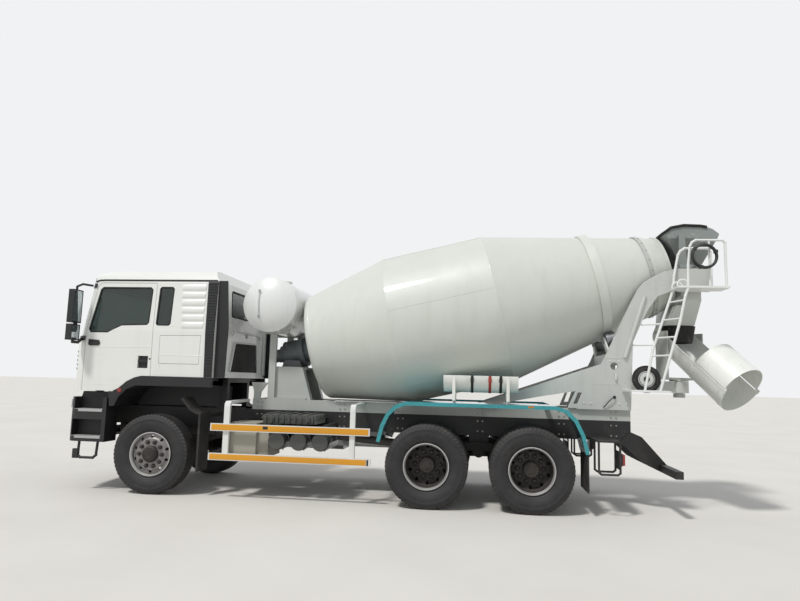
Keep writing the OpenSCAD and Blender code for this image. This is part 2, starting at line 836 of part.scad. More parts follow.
module gearbox() {
    color("#5c6468") place() {
        difference() {
            union() {
                drum_frame() {
                    translate([0, 0, -560]) cylinder(h = 390, r = 190);
                    translate([0, 0, -620]) cylinder(h = 60, r = 140);
                    translate([0, 0, -300]) cylinder(h = 60, r = 245);
                }
                slab([[1520, 1800], [1830, 1800], [1800, 1900], [1560, 1900]], -200, 400);
            }
            drum_frame() translate([0, 0, -290]) cylinder(h = 200, r = 90 + fit);
        }
    }
}

dome_off = 560;

module water_tank() {
    color("#eef1f2") place() {
        barrel(tank_x, tank_z, -tank_half, tank_half, tank_r);
        both() translate([tank_x, -tank_half, tank_z]) intersection() {
            translate([0, dome_off, 0]) sphere(norm([tank_r, dome_off]), $fn = 96);
            rotate([90, 0, 0]) translate([0, 0, -50]) cylinder(h = 250, r = tank_r - 2);
        }
        translate([tank_x, 0, tank_z + tank_r - 10]) cylinder(h = 60, r = 90);
    }
}

drum_out = [[0, -110], [300, -100], [560, -72], [720, -38], [770, -18], [790, 5], [802, 40],
    [1104, 1250], [drum_r, 2740], [mouth_r, 5193]];
drum_in = [[mouth_r - 12, 5193], [drum_r - 12, 2730], [1092, 1256], [792, 50], [760, 10],
    [560, -58], [0, -96]];

module drum() {
    color("#e9ecec") place() drum_frame() {
        rotate_extrude($fn = 128) polygon(concat(drum_out, drum_in));
        // Track ring
        rotate_extrude($fn = 128) polygon([[755, ring_u - 60], [ring_r, ring_u - 60],
            [ring_r, ring_u + 60], [730, ring_u + 60], [760, ring_u]]);
        // Bands
        rotate_extrude($fn = 128) polygon([[578, 4900], [604, 4900], [586, 4990], [556, 4990]]);
        rotate_extrude($fn = 128) polygon([[mouth_r - 5, 5150], [mouth_r + 22, 5150],
            [mouth_r + 18, 5193], [mouth_r - 5, 5193]]);
        translate([0, 0, -160]) cylinder(h = 60, r = 190);
        translate([0, 0, -280]) cylinder(h = 130, r = 90);
    }
}

frame_pts = [[5835, 1320], [6020, 1660], [6204, 2020], [6324, 2291], [6415, 2503],
    [6542, 2773], [6633, 2955], [6711, 3053], [6860, 3148], [6991, 3211], [7170, 3248],
    [7580, 3248], [7580, 2989], [7091, 2952], [6891, 2871], [6774, 2700], [6701, 2554],
    [6575, 2247], [6560, 1320]];
frame_base = 1320;

// Tapered brace plate from the subframe to the frame.
brace_pts = [[4560, 1320], [4600, 1320], [5342, 1475], [6010, 1596], [6190, 1948],
    [6175, 1943], [4560, 1370]];
leg_pts = [[5720, 1330], [5880, 1330], [5995, 1600], [5830, 1585]];
leg_hole = [[5790, 1385], [5848, 1385], [5905, 1545], [5850, 1545]];
eye = [6330, 1912];
eye_r = 50;

// A side plate between y0 and y1 that leans outward with the frame.
module lean_plate(pts, y0, y1) {
    translate([0, -rail_y, frame_base]) rotate([lean, 0, 0])
        slab([for (p = pts) [p[0], (p[1] - frame_base) / cos(lean)]], y0, y1 - y0);
}

module rear_frame() {
    color("#a9adab") place() {
        both() difference() {
            union() {
                lean_plate(frame_pts, -50, 0);
                lean_plate(brace_pts, -40, -10);
                difference() {
                    lean_plate(leg_pts, -42, -8);
                    lean_plate(leg_hole, -60, 10);
                }
                // Tube along the outer face
                translate([0, -rail_y, frame_base]) rotate([lean, 0, 0])
                    rod([6723, -56, 1560], [6472, -56, 723], 26);
                box(5835, 6560, -rail_y - 40, -rail_y + 80, frame_base, frame_base + 16);
                box(4550, 4720, -rail_y - 45, -rail_y + 60, frame_base, frame_base + 14);
                // Cross beam under the rollers
                box(6250, 6420, -545, 0, 1930, 2080);
            }
            barrel(eye[0], eye[1], -700, -480, eye_r);
        }
        // Beam and arm of the chute
        box(6480, 6560, -520, 520, arm_top - 160, 1850);
        box(6560, slew_x - 90, -110, 110, arm_top - 160, arm_top);
        difference() {
            translate([slew_x, 0, arm_top - 160]) cylinder(h = 160, r = 130);
            translate([slew_x, 0, arm_top - 200]) cylinder(h = 300, r = 50 + fit);
        }
        // Rear cross panel between the horns
        box(panel_x, panel_x + 40, -680, 680, 2995, 3245);
        both() roller_stand();
    }
}

ring_c = [drum_x + ring_u * cos(drum_tilt), 0, drum_z + ring_u * sin(drum_tilt)];
roll_d = ring_r + roller_r + fit;

// Local Z along the drum axis, at the middle of the left roller.
module roller_frame() {
    translate(ring_c) rotate([0, 90 - drum_tilt, 0]) rotate([0, 0, -roller_a])
        translate([roll_d, 0, 0]) children();
}

module roller_stand() {
    for (w = [-95, 70]) roller_frame() translate([0, 0, w]) difference() {
        union() {
            cylinder(h = 25, r = 62);
            translate([0, -55, 0]) cube([240, 130, 25]);
        }
        translate([0, 0, -5]) cylinder(h = 40, r = 30 + fit);
    }
}

module roller() {
    roller_frame() {
        translate([0, 0, -65]) cylinder(h = 130, r = roller_r);
        translate([0, 0, -110]) cylinder(h = 220, r = 30);
    }
}

module roller_left() { color("#7c8083") place() roller(); }
module roller_right() { color("#7c8083") place() mirror([0, 1, 0]) roller(); }

// Outer X and Z of the hopper's side, and the way to its inner face for each unit of wall.
hop_pts = [[7030, 3800, 0.87, 0.5], [7120, 3870, 0, 20], [7300, 3905, 0, 20],
    [7520, 3895, 0, 20], [7680, 3830, 0, 25], [7765, 3760, 10.9, 28.3],
    [7600, 3370, -1.43, -0.83], [7300, 3370, 1.78, -0.83], [7170, 3560, 0.85, 0.52]];
hop_wall = 12;

module hopper() {
    color("#7f8586") place() {
        difference() {
            intersection() {
                slab(grow(hop_pts, 0), -700, 1400);
                wall_x([[-270, 3300], [-560, 3700], [-560, 4100], [560, 4100], [560, 3700],
                    [270, 3300]], 6900, 1200);
            }
            intersection() {
                slab(grow(hop_pts, hop_wall), -700, 1400);
                wall_x([[-250, 3290], [-552, 3706], [-552, 4200], [552, 4200], [552, 3706],
                    [250, 3290]], 6900, 1200);
            }
        }
        // Feet and outer brackets on the frame
        both() {
            box(7400, 7460, -744, -312, 3248.3, 3300);
            box(7400, 7460, -345, -312, 3295, 3380);
            box(7180, 7330, -744, -628, 3248.3, 3300);
            slab([[7185, 3290], [7325, 3290], [7300, 3420], [7285, 3740], [7205, 3740],
                [7205, 3420]], -640, 12);
            box(7205, 7285, -640, -553, 3715, 3735);
        }
    }
}

coll_rear = 7500;
panel_x = 7540;

module collector() {
    color("#a7abaa") place() {
        difference() {
            intersection() {
                slab([[7190, 2768], [7275, 2768], [7330, 2990], [coll_rear, 2990], [coll_rear, 2515],
                    [7100, 2515]], -700, 1400);
                wall_x([[-250, 2515], [-560, 2830], [-560, 3000], [560, 3000], [560, 2830],
                    [250, 2515]], 7000, 800);
            }
            intersection() {
                slab([[7200, 2780], [7260, 2780], [7320, 3100], [coll_rear - 12, 3100],
                    [coll_rear - 12, 2500], [7112, 2500]], -700, 1400);
                wall_x([[-235, 2500], [-550, 2834], [-550, 3100], [550, 3100], [550, 2834],
                    [235, 2500]], 7000, 800);
            }
        }
        box(coll_rear - 12, panel_x, -560, 560, 2980, 3010);
    }
}

module skirt() {
    color("#131415") place() {
        difference() {
            translate([slew_x, 0, 2277]) cylinder(h = 238, r1 = 196, r2 = 240);
            translate([slew_x, 0, 2276]) cylinder(h = 240, r1 = 184, r2 = 228);
        }
    }
}

pin_n = -80;
pin_y = 352;

module slew() {
    color("#8f9392") place() {
        translate([slew_x, 0, arm_top - 220]) cylinder(h = 260, r = 50);
        translate([slew_x, 0, arm_top - 225]) cylinder(h = 60, r = 80);
        translate([slew_x, 0, arm_top + 5]) cylinder(h = 45, r = 130);
        translate([slew_x, 0, 0]) rotate([0, 0, -swing]) {
            box(-70, 70, -380, 380, arm_top + 25, arm_top + 55);
            for (s = [-1, 1]) difference() {
                translate([-70, s * 370 - 10, arm_top + 25])
                    cube([200, 20, rim_z - arm_top - 25]);
                translate([-pin_n * -sin(slope), 0, rim_z + pin_n * cos(slope)])
                    rotate([90, 0, 0]) cylinder(h = 900, r = 20 + fit, center = true);
            }
        }
    }
}

module trough(x0, x1, r, t) {
    translate([x0, 0, 0]) rotate([90, 0, 90]) linear_extrude(x1 - x0) difference() {
        circle(r, $fn = 96);
        circle(r - t, $fn = 96);
        translate([-500, 0]) square([1000, 500]);
    }
}

module chute() {
    color("#eceeec") place() chute_frame() {
        trough(-125, chute_l, chute_r, 6);
        for (s = [-1, 1]) {
            translate([0, s * 348, pin_n]) rotate([90, 0, 0])
                cylinder(h = 76, r = 20, center = true);
            translate([-30, s * 328 - 14, pin_n - 30]) cube([60, 28, 60]);
        }
        // Hinge ears of the end piece
        for (s = [-1, 1]) difference() {
            union() {
                translate([chute_l - 35, s * (ear_out - 5) - 5, -30])
                    cube([36, 10, ear_top + 30]);
                translate([chute_l - 35, s * 334 - 13, -30]) cube([30, 26, 12]);
            }
            translate([fold_x, 0, ext_lift / 2]) rotate([90, 0, 0])
                cylinder(h = 800, r = 8 + fit, center = true);
        }
    }
}

module chute_end() {
    color("#eceeec") place() chute_frame() translate([0, 0, ext_lift]) {
        mirror([0, 0, 1]) trough(chute_l - 40 - fold_l, chute_l - 40, ext_r, 6);
        for (s = [-1, 1]) {
            translate([chute_l - 50, s * 330 - 3, -ext_lift]) cube([42, 6, 30]);
            translate([fold_x, s * 340, -ext_lift / 2]) rotate([90, 0, 0])
                cylinder(h = 24, r = 8, center = true);
        }
    }
}

// X and Z of the inner and the outer ladder rail up to the platform.
rail_in = [[6680, 1585], [6795, 2142], [7017, 2777], [7075, 2950]];
rail_out = [[6798, 1585], [6915, 1979], [7065, 2492], [7137, 2818], [7177, 2930]];
// X and Z of the hand hoops over them.
hoop_in = [[7090, 3130], [7148, 3418], [7178, 3472], [7236, 3512], [7528, 3512],
    [7568, 3472], [7568, 2940]];
hoop_out = [[7185, 3220], [7215, 3480], [7240, 3530], [7290, 3560], [7620, 3560],
    [7650, 3530], [7650, 2940]];
ladder_y = [-770, -1060];

// X of a rail at height z.
function rail_x(pts, z) = lookup(z, [for (p = pts) [p[1], p[0]]]);

module ladder() {
    color("#e9ecec") place() {
        rail([for (p = concat(rail_in, hoop_in)) [p[0], ladder_y[0], p[1]]], 17, 1.15);
        rail([for (p = concat(rail_out, hoop_out)) [p[0], ladder_y[1], p[1]]], 17, 1.15);
        rod([7450, ladder_y[1], 3560], [7450, ladder_y[1], 2940], 14);
        for (z = [2050 : 240 : 2770])
            rod([rail_x(rail_out, z), ladder_y[1], z], [rail_x(rail_in, z), ladder_y[0], z], 12);
        // Lower step and the stays to the frame
        box(6440, 6930, -1080, -620, 1568, 1592);
        box(6440, 6520, -640, -535, 1568, 1592);
        for (p = [[6582, -590, 2200], [6684, -620, 2480]])
            rod(p, [rail_x(rail_in, p[2]), ladder_y[0], p[2]], 12);
        // Platform
        box(7040, 7690, -1080, -748, 2930, 2955);
        slab([[7150, 2930], [7560, 2930], [7560, 2980.9], [7150, 2949.9]], -760, 90);
    }
}

module spare_chutes() {
    color("#e6eae8") place() {
        translate([4033, -1000, 1727]) trough(0, 970, 220, 5);
        for (x = [4150, 4850]) {
            box(x, x + 40, -1120, -880, 1365, 1420);
            difference() {
                box(x, x + 40, -1225, -775, 1400, 1700);
                translate([x - 5, -1000, 1727]) rotate([0, 90, 0]) cylinder(h = 60, r = 220);
            }
        }
    }
}

module underrun() {
    color("#2a2c2e") place() {
        box(6922, 7014, -1200, 1200, 514, 606);
        both() {
            slab([[6440, rail_bot + 20], [6560, rail_bot + 120], [6700, 960], [7014, 606],
                [6922, 514], [6700, 620], [6440, 860]], -rail_y - 20, 20);
            // Lamp cages
            rail([[6000, -1200, 936], [6000, -1200, 560], [6030, -1200, 536],
                [6230, -1200, 536], [6260, -1200, 560], [6260, -1200, 936]], 14);
            rail([[6000, -900, 936], [6000, -900, 560], [6030, -900, 536],
                [6230, -900, 536], [6260, -900, 560], [6260, -900, 936]], 14);
            box(5980, 6280, -1215, -rail_y, 930, 950);
            box(6248, 6272, -1200, -900, 600, 640);
        }
    }
}

module lamps() {
    color("#b02a20") place() {
        both() {
            box(6272, 6330, -1170, -930, 640, 790);
            box(6240, 6272, -1170, -930, 640, 820);
            box(-1350, -1290, -959, -701, 1131, 1249);
            box(5120, 5200, -1252, -1248, 1330, 1356);
        }
    }
}

hose_x = 6745;
hose_z = 1742;
hose_r = 185;

module hose_reel() {
    color("#202224") place() {
        difference() {
            barrel(hose_x, hose_z, -612, -572, hose_r);
            barrel(hose_x, hose_z, -615, -600, hose_r - 35);
        }
        barrel(hose_x, hose_z, -620, -600, 40);
        box(6567.4, hose_x, -572, -530, hose_z - 22, hose_z + 23);
    }
}

chassis_frame();
engine();
front_axle();
knuckle_left();
knuckle_right();
tyre_front_left();
tyre_front_right();
tyres_mid_left();
tyres_mid_right();
tyres_rear_left();
tyres_rear_right();
rim_front_left();
rim_front_right();
rims_mid_left();
rims_mid_right();
rims_rear_left();
rims_rear_right();
rear_axles();
rear_springs();
air_tanks();
side_boxes();
fuel_tank();
silencer();
side_guards();
rear_fenders();
mudflaps();
bumper();
cab_shell();
cab_glass();
cab_interior();
seats();
grille();
sun_visor();
door_left();
door_right();
door_glass_left();
door_glass_right();
cab_fenders();
mirrors();
deflectors();
subframe();
pedestal();
gearbox();
water_tank();
drum();
rear_frame();
roller_left();
roller_right();
hopper();
collector();
skirt();
slew();
chute();
chute_end();
ladder();
spare_chutes();
underrun();
lamps();
hose_reel();
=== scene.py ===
"""Concrete mixer truck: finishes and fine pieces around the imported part."""

import json
import logging
import math
from dataclasses import dataclass
from enum import Enum
from typing import Iterable, Iterator, Sequence

import bmesh
import bpy
from mathutils import Matrix, Vector


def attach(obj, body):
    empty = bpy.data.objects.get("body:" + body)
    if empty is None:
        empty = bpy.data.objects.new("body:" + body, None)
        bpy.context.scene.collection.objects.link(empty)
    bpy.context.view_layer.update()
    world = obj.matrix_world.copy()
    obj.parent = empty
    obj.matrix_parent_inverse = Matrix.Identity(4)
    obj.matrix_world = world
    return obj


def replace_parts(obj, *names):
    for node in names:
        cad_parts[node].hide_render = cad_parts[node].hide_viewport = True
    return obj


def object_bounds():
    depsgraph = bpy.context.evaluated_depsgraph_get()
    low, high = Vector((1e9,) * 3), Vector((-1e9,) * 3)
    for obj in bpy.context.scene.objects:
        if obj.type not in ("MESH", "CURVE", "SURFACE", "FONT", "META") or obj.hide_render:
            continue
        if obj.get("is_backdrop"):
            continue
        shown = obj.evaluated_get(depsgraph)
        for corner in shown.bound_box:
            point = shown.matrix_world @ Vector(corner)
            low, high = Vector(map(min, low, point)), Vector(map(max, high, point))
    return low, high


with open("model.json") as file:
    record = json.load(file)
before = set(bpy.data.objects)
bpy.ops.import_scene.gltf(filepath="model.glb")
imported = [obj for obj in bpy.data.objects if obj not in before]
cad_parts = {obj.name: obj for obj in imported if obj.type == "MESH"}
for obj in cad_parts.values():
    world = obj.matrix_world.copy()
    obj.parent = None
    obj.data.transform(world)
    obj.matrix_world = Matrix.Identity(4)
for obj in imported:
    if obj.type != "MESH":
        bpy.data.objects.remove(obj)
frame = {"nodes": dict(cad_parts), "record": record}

LOG = logging.getLogger("mixer_truck")
MM = 0.001
MID_X = 3393.549072
TURN = 2 * math.pi
TYRE_RADIUS = 542.0
WHEELBASE = 3825.0
LAST_AXLE = 5175.0
FRONT_WHEEL_Y = 1015.0
REAR_WHEEL_Y = 1090.0
TWIN_GAP = 340.0
RAIL_Y = 450.0
DRUM_TILT = math.radians(13.17)
DRUM_HEAD = (2070.0, 0.0, 2121.0)
CHUTE_SWING = math.radians(55)
CHUTE_SLOPE = math.radians(40.6)
CHUTE_PIVOT = (7340.0, 0.0, 2430.0)
DRUM_AXIS = (math.cos(DRUM_TILT), 0.0, math.sin(DRUM_TILT))
WAIST_Z, WAIST_Y = 2250.0, 1120.0
EAVES_Z, EAVES_Y = 2950.0, 1070.0
REAR_LEAN = math.radians(7.2)
STREAK_TONE = "8e8b82"
SPLASH_TONE = "a9a69c"
GLASS_DUST_TONE = "a39c90"
Point = Sequence[float]
Value = float | Sequence[float] | bpy.types.NodeSocket


def spot(x: float, y: float, z: float) -> Vector:
    """A point counted from the front axle in millimetres, as metres in the frame of the part."""
    return Vector(((x - MID_X) * MM, y * MM, z * MM))


def tone(code: str) -> tuple[float, float, float, float]:
    """Linear colour of a hex code.

    Args:
        code: six hex digits such as e8e9e6.

    Returns:
        Red, green, blue and a full alpha.
    """
    parts = [int(code[i : i + 2], 16) / 255 for i in (0, 2, 4)]
    linear = [c / 12.92 if c <= 0.04045 else ((c + 0.055) / 1.055) ** 2.4 for c in parts]
    return (*linear, 1.0)


class Side(Enum):
    """Side of the truck, as the sign of Y."""

    LEFT = -1
    RIGHT = 1

    @property
    def word(self) -> str:
        """Name of the side in small letters, as piece and body names have it."""
        return self.name.lower()


def turns(count: int, start: float = 0.0) -> Iterator[float]:
    """Evenly spread angles of a full turn, all moved on by a share of a step."""
    return (TURN * (k + start) / count for k in range(count))


def stand(name: str, data: bpy.types.ID) -> bpy.types.Object:
    """Adds an object to the scene.

    Args:
        name: name of the object.
        data: its mesh, lamp or camera.

    Returns:
        The object.
    """
    piece = bpy.data.objects.new(name, data)
    bpy.context.scene.collection.objects.link(piece)
    return piece


def body_of_node(node: str) -> str:
    """Finds the CAD body that holds a node.

    Args:
        node: name of the node.

    Returns:
        Name of the body.
    """
    for body, members in frame["record"]["behaviour"]["bodies"].items():
        if node in members:
            return body
    raise ValueError(f"no body holds {node}")


def wall_y(z: float) -> float:
    """Half width of the cab's side wall.

    Args:
        z: height over the ground.

    Returns:
        Distance of the wall from the middle of the truck.
    """
    if z <= WAIST_Z:
        return WAIST_Y
    if z <= EAVES_Z:
        return WAIST_Y - (WAIST_Y - EAVES_Y) * (z - WAIST_Z) / (EAVES_Z - WAIST_Z)
    return EAVES_Y - 35 * (z - EAVES_Z) / 100


def screen_x(y: float, z: float, inset: float) -> float:
    """X of the raked and curved front of the cab."""
    return -1333 + 0.2016 * (z - 2169) + inset + y * y / 11512


def drum_spot(u: float, r: float, turn: float) -> tuple[float, float, float]:
    """Point of the drum.

    Args:
        u: length along the axis.
        r: distance from the axis.
        turn: angle about the axis, counted from the bottom.

    Returns:
        The point, from the front axle.
    """
    cos_t, sin_t = math.cos(DRUM_TILT), math.sin(DRUM_TILT)
    down, across = r * math.cos(turn), r * math.sin(turn)
    return (DRUM_HEAD[0] + u * cos_t + down * sin_t, across, DRUM_HEAD[2] + u * sin_t - down * cos_t)


def chute_spot(x: float, y: float, z: float) -> tuple[float, float, float]:
    """Point of the chute.

    Args:
        x: length along the chute.
        y: distance across it.
        z: height over it.

    Returns:
        The point, from the front axle.
    """
    cos_s, sin_s = math.cos(CHUTE_SLOPE), math.sin(CHUTE_SLOPE)
    ahead, up = x * cos_s + z * sin_s, -x * sin_s + z * cos_s
    cos_w, sin_w = math.cos(-CHUTE_SWING), math.sin(-CHUTE_SWING)
    return (CHUTE_PIVOT[0] + ahead * cos_w - y * sin_w, ahead * sin_w + y * cos_w, CHUTE_PIVOT[2] + up)


def rear_panel(side: Side, x: float, z: float, out: float) -> tuple[float, float, float]:
    """Point over the outer face of one panel of the rear frame, which leans outward."""
    y = RAIL_Y + 50 / math.cos(REAR_LEAN) + (z - 1320) * math.tan(REAR_LEAN) + out
    return (x, side.value * y, z)


class Graph:
    """A node tree that is filled in few words."""

    def __init__(self, tree: bpy.types.NodeTree) -> None:
        """Args: tree: the tree that takes the nodes."""
        self.tree = tree
        tree.nodes.clear()

    def feed(self, socket: bpy.types.NodeSocket, value: Value) -> None:
        """Gives an input what it takes.

        Args:
            socket: the input.
            value: the output of another node to be linked, or a plain value.
        """
        if isinstance(value, bpy.types.NodeSocket):
            self.tree.links.new(value, socket)
        else:
            socket.default_value = value

    def add(self, kind: str, inputs: dict[str | int, Value] | None = None, **settings: object) -> bpy.types.Node:
        """Adds one node.

        Args:
            kind: class of the node without its ShaderNode prefix.
            inputs: values, or output sockets to be linked, by input name or number.
            settings: properties of the node.

        Returns:
            The node.
        """
        node = self.tree.nodes.new("ShaderNode" + kind)
        for key, value in settings.items():
            setattr(node, key, value)
        for key, value in (inputs or {}).items():
            self.feed(node.inputs[key], value)
        return node

    def group(self, tree: bpy.types.NodeTree, **values: float) -> bpy.types.Node:
        """Places one shared group with its own values."""
        return self.add("Group", values, node_tree=tree)

    def math(self, operation: str, *values: Value, clamp: bool = False) -> bpy.types.NodeSocket:
        """Output of a Math node, kept from 0 to 1 if clamp is set."""
        return self.add("Math", dict(enumerate(values)), operation=operation, use_clamp=clamp).outputs[0]

    def times(self, first: Value, *others: Value, clamp: bool = False) -> bpy.types.NodeSocket:
        """Multiplies numbers or sockets.

        Args:
            first: the first factor.
            others: the other factors.
            clamp: keeps the result from 0 to 1.

        Returns:
            The product.
        """
        for other in others:
            first = self.math("MULTIPLY", first, other, clamp=clamp)
        return first

    def ramp(self, value: bpy.types.NodeSocket, low: float, high: float,
             out_low: float = 0.0, out_high: float = 1.0) -> bpy.types.NodeSocket:
        """Clamped straight ramp of a value from low..high to out_low..out_high."""
        return self.add("MapRange", {0: value, 1: low, 2: high, 3: out_low, 4: out_high}).outputs[0]

    def blend(self, share: Value, first: Value, second: Value) -> bpy.types.NodeSocket:
        """Colour between first and second at the given share."""
        return self.add("Mix", {0: share, 6: first, 7: second}, data_type="RGBA").outputs[2]

    def place(self) -> bpy.types.NodeSocket:
        """Place of the shaded point, in metres in the frame of the part."""
        return self.add("TexCoord").outputs["Object"]

    def noise(self, place: Value, scale: Value, detail: float, rough: float = 0.5) -> bpy.types.NodeSocket:
        """Even noise over the surface."""
        inputs = {"Vector": place, "Scale": scale, "Detail": detail, "Roughness": rough}
        return self.add("TexNoise", inputs).outputs[0]

    def upward(self) -> bpy.types.NodeSocket:
        """How far the surface looks up, from -1 to 1."""
        return self.add("SeparateXYZ", {0: self.add("NewGeometry").outputs["Normal"]}).outputs["Z"]

    def vector(self, operation: str, *values: Value) -> bpy.types.Node:
        """Vector Math node."""
        return self.add("VectorMath", dict(enumerate(values)), operation=operation)


class Effects:
    """Shader groups that the finishes share, each built once."""

    def __init__(self) -> None:
        """Builds every group."""
        self.wear = self.edge_wear()
        self.dirt = self.road_dirt()
        self.streaks = self.rain_streaks()
        self.grain = self.surface_grain()
        self.splash = self.cement_splash()

    @staticmethod
    def start(name: str, **values: float) -> tuple[Graph, bpy.types.NodeOutputs, bpy.types.NodeSocket]:
        """Opens a group.

        Args:
            name: name of the group.
            values: number inputs with their defaults.

        Returns:
            The graph, its input sockets and the place of the shaded point.
        """
        tree = bpy.data.node_groups.new(name, "ShaderNodeTree")
        for key, value in values.items():
            tree.interface.new_socket(name=key, in_out="INPUT", socket_type="NodeSocketFloat").default_value = value
        graph = Graph(tree)
        return graph, tree.nodes.new("NodeGroupInput").outputs, graph.place()

    @staticmethod
    def close(graph: Graph, **outs: bpy.types.NodeSocket) -> bpy.types.NodeTree:
        """Ends a group.

        Args:
            graph: the graph of the group.
            outs: what each named output puts out.

        Returns:
            The finished tree.
        """
        for key in outs:
            graph.tree.interface.new_socket(name=key, in_out="OUTPUT", socket_type="NodeSocketFloat")
        last = graph.tree.nodes.new("NodeGroupOutput")
        for key, value in outs.items():
            graph.tree.links.new(value, last.inputs[key])
        return graph.tree

    def edge_wear(self) -> bpy.types.NodeTree:
        """Mask of the outer edges, broken up by noise: real edge wear on most finishes, painted edge shade on the cab
        and a painted edge highlight on the teal film.

        Returns:
            The group.
        """
        graph, ins, place = self.start("edge_wear", Width=0.006, Breakup=22.0, Amount=1.0)
        bevel = graph.add("Bevel", {"Radius": ins["Width"]}, samples=3).outputs[0]
        flat = graph.add("NewGeometry").outputs["Normal"]
        edge = graph.ramp(graph.vector("DOT_PRODUCT", bevel, flat).outputs["Value"], 0.995, 0.86)
        patch = graph.ramp(graph.noise(place, ins["Breakup"], 5.0), 0.42, 0.62)
        return self.close(graph, Mask=graph.times(edge, patch, ins["Amount"], clamp=True))

    def road_dirt(self) -> bpy.types.NodeTree:
        """Mask of road dust, thicker near the ground and on faces that look up.

        Returns:
            The group.
        """
        graph, ins, place = self.start("road_dirt", Amount=0.5, Scale=2.5, Top=1.6)
        height = graph.add("SeparateXYZ", {0: place}).outputs["Z"]
        low = graph.ramp(graph.math("DIVIDE", height, ins["Top"]), 0.1, 1.0, 1.0, 0.18)
        patch = graph.ramp(graph.noise(place, ins["Scale"], 7.0, 0.62), 0.3, 0.72)
        lying = graph.ramp(graph.upward(), 0.3, 0.95, 0.0, 0.45)
        whole = graph.math("ADD", graph.times(patch, low), graph.times(lying, patch))
        return self.close(graph, Mask=graph.times(whole, ins["Amount"], clamp=True))

    def rain_streaks(self) -> bpy.types.NodeTree:
        """Mask of thin runs down upright faces.

        Returns:
            The group.
        """
        graph, ins, place = self.start("rain_streaks", Amount=0.3, Pitch=9.0)
        size = graph.add("CombineXYZ", {"X": ins["Pitch"], "Y": ins["Pitch"], "Z": 0.55}).outputs[0]
        run = graph.vector("MULTIPLY", place, size).outputs[0]
        line = graph.ramp(graph.noise(run, 1.0, 4.0), 0.5, 0.78)
        upright = graph.ramp(graph.math("ABSOLUTE", graph.upward()), 0.85, 0.35)
        return self.close(graph, Mask=graph.times(line, upright, ins["Amount"], clamp=True))

    def surface_grain(self) -> bpy.types.NodeTree:
        """Height of a fine grain and a slow change of shade.

        Returns:
            The group.
        """
        graph, ins, place = self.start("surface_grain", Scale=120.0, Slow=1.4)
        shade = graph.ramp(graph.noise(place, ins["Slow"], 5.0), 0.3, 0.7)
        return self.close(graph, Height=graph.noise(place, ins["Scale"], 3.0), Shade=shade)

    def cement_splash(self) -> bpy.types.NodeTree:
        """Mask of dried cement spots and smears.

        Returns:
            The group.
        """
        graph, ins, place = self.start("cement_splash", Amount=0.5, Scale=16.0)
        cell = graph.add("TexVoronoi", {"Vector": place, "Scale": ins["Scale"], "Randomness": 1.0})
        drop = graph.ramp(cell.outputs["Distance"], 0.26, 0.16)
        area = graph.ramp(graph.noise(place, 2.2, 6.0), 0.5, 0.66)
        film = graph.ramp(graph.noise(place, 9.0, 8.0, 0.7), 0.54, 0.74)
        both = graph.math("MAXIMUM", drop, film)
        return self.close(graph, Mask=graph.times(both, area, ins["Amount"], clamp=True))


class Coat:
    """A material under construction."""

    def __init__(self, name: str, colour: str) -> None:
        """Opens the material.

        Args:
            name: name of the material.
            colour: its plain colour in the viewport.
        """
        self.material = bpy.data.materials.new(name)
        self.material.use_nodes = True
        self.material.diffuse_color = tone(colour)
        self.graph = Graph(self.material.node_tree)

    def close(self, inputs: dict[str, Value]) -> bpy.types.Material:
        """Ends the material with a Principled BSDF.

        Args:
            inputs: what the shader takes, by the name of its input.

        Returns:
            The material.
        """
        shader = self.graph.add("BsdfPrincipled", inputs)
        self.graph.add("OutputMaterial", {0: shader.outputs[0]})
        return self.material


@dataclass(frozen=True)
class Finish:
    """A painted, moulded or bare surface with its own dirt and edge marks: edge wear on most finishes, painted edge
    shade on the cab and a painted edge highlight on the teal film.
    """

    name: str
    colour: str
    rough: float = 0.4
    metal: float = 0.0
    coat: float = 0.0
    shade: float = 0.05
    dust: float = 0.3
    dust_top: float = 1.6
    dust_tone: str = "9a9184"
    streak: float = 0.0
    splash: float = 0.0
    wear: float = 0.25
    wear_tone: str = "6f6e6a"
    wear_width: float = 0.006
    grain: float = 140.0
    depth: float = 0.0004

    def build(self, effects: Effects) -> bpy.types.Material:
        """Makes the material.

        Args:
            effects: the shared shader groups.

        Returns:
            The finished material.
        """
        coat = Coat(self.name, self.colour)
        graph, base = coat.graph, tone(self.colour)
        grain = graph.group(effects.grain, Scale=self.grain).outputs
        dark = tuple(c * 0.8 for c in base[:3]) + (1.0,)
        colour = graph.blend(graph.times(grain["Shade"], min(1.0, self.shade * 5)), base, dark)
        rough = graph.ramp(grain["Shade"], 0.0, 1.0, self.rough * 0.9, min(1.0, self.rough * 1.15))
        layers = (
            (effects.streaks, {"Amount": self.streak}, STREAK_TONE, 0.0),
            # Edge layer: real wear on most finishes; on cab_white its darker tone is painted edge shade, and on
            # teal_film its pale tone is a painted highlight.
            (effects.wear, {"Width": self.wear_width, "Amount": self.wear}, self.wear_tone, 0.15),
            (effects.splash, {"Amount": self.splash}, SPLASH_TONE, 0.35),
            (effects.dirt, {"Amount": self.dust, "Top": self.dust_top}, self.dust_tone, 0.4),
        )
        for tree, values, stain, dulling in layers:
            if values["Amount"]:
                mask = graph.group(tree, **values).outputs[0]
                colour = graph.blend(mask, colour, tone(stain))
                if dulling:
                    rough = graph.math("ADD", rough, graph.times(mask, dulling), clamp=True)
        bump = graph.add("Bump", {"Height": grain["Height"], "Strength": 0.5, "Distance": self.depth})
        return coat.close({"Base Color": colour, "Roughness": rough, "Metallic": self.metal,
                           "Coat Weight": self.coat, "Coat Roughness": 0.08, "Normal": bump.outputs[0]})


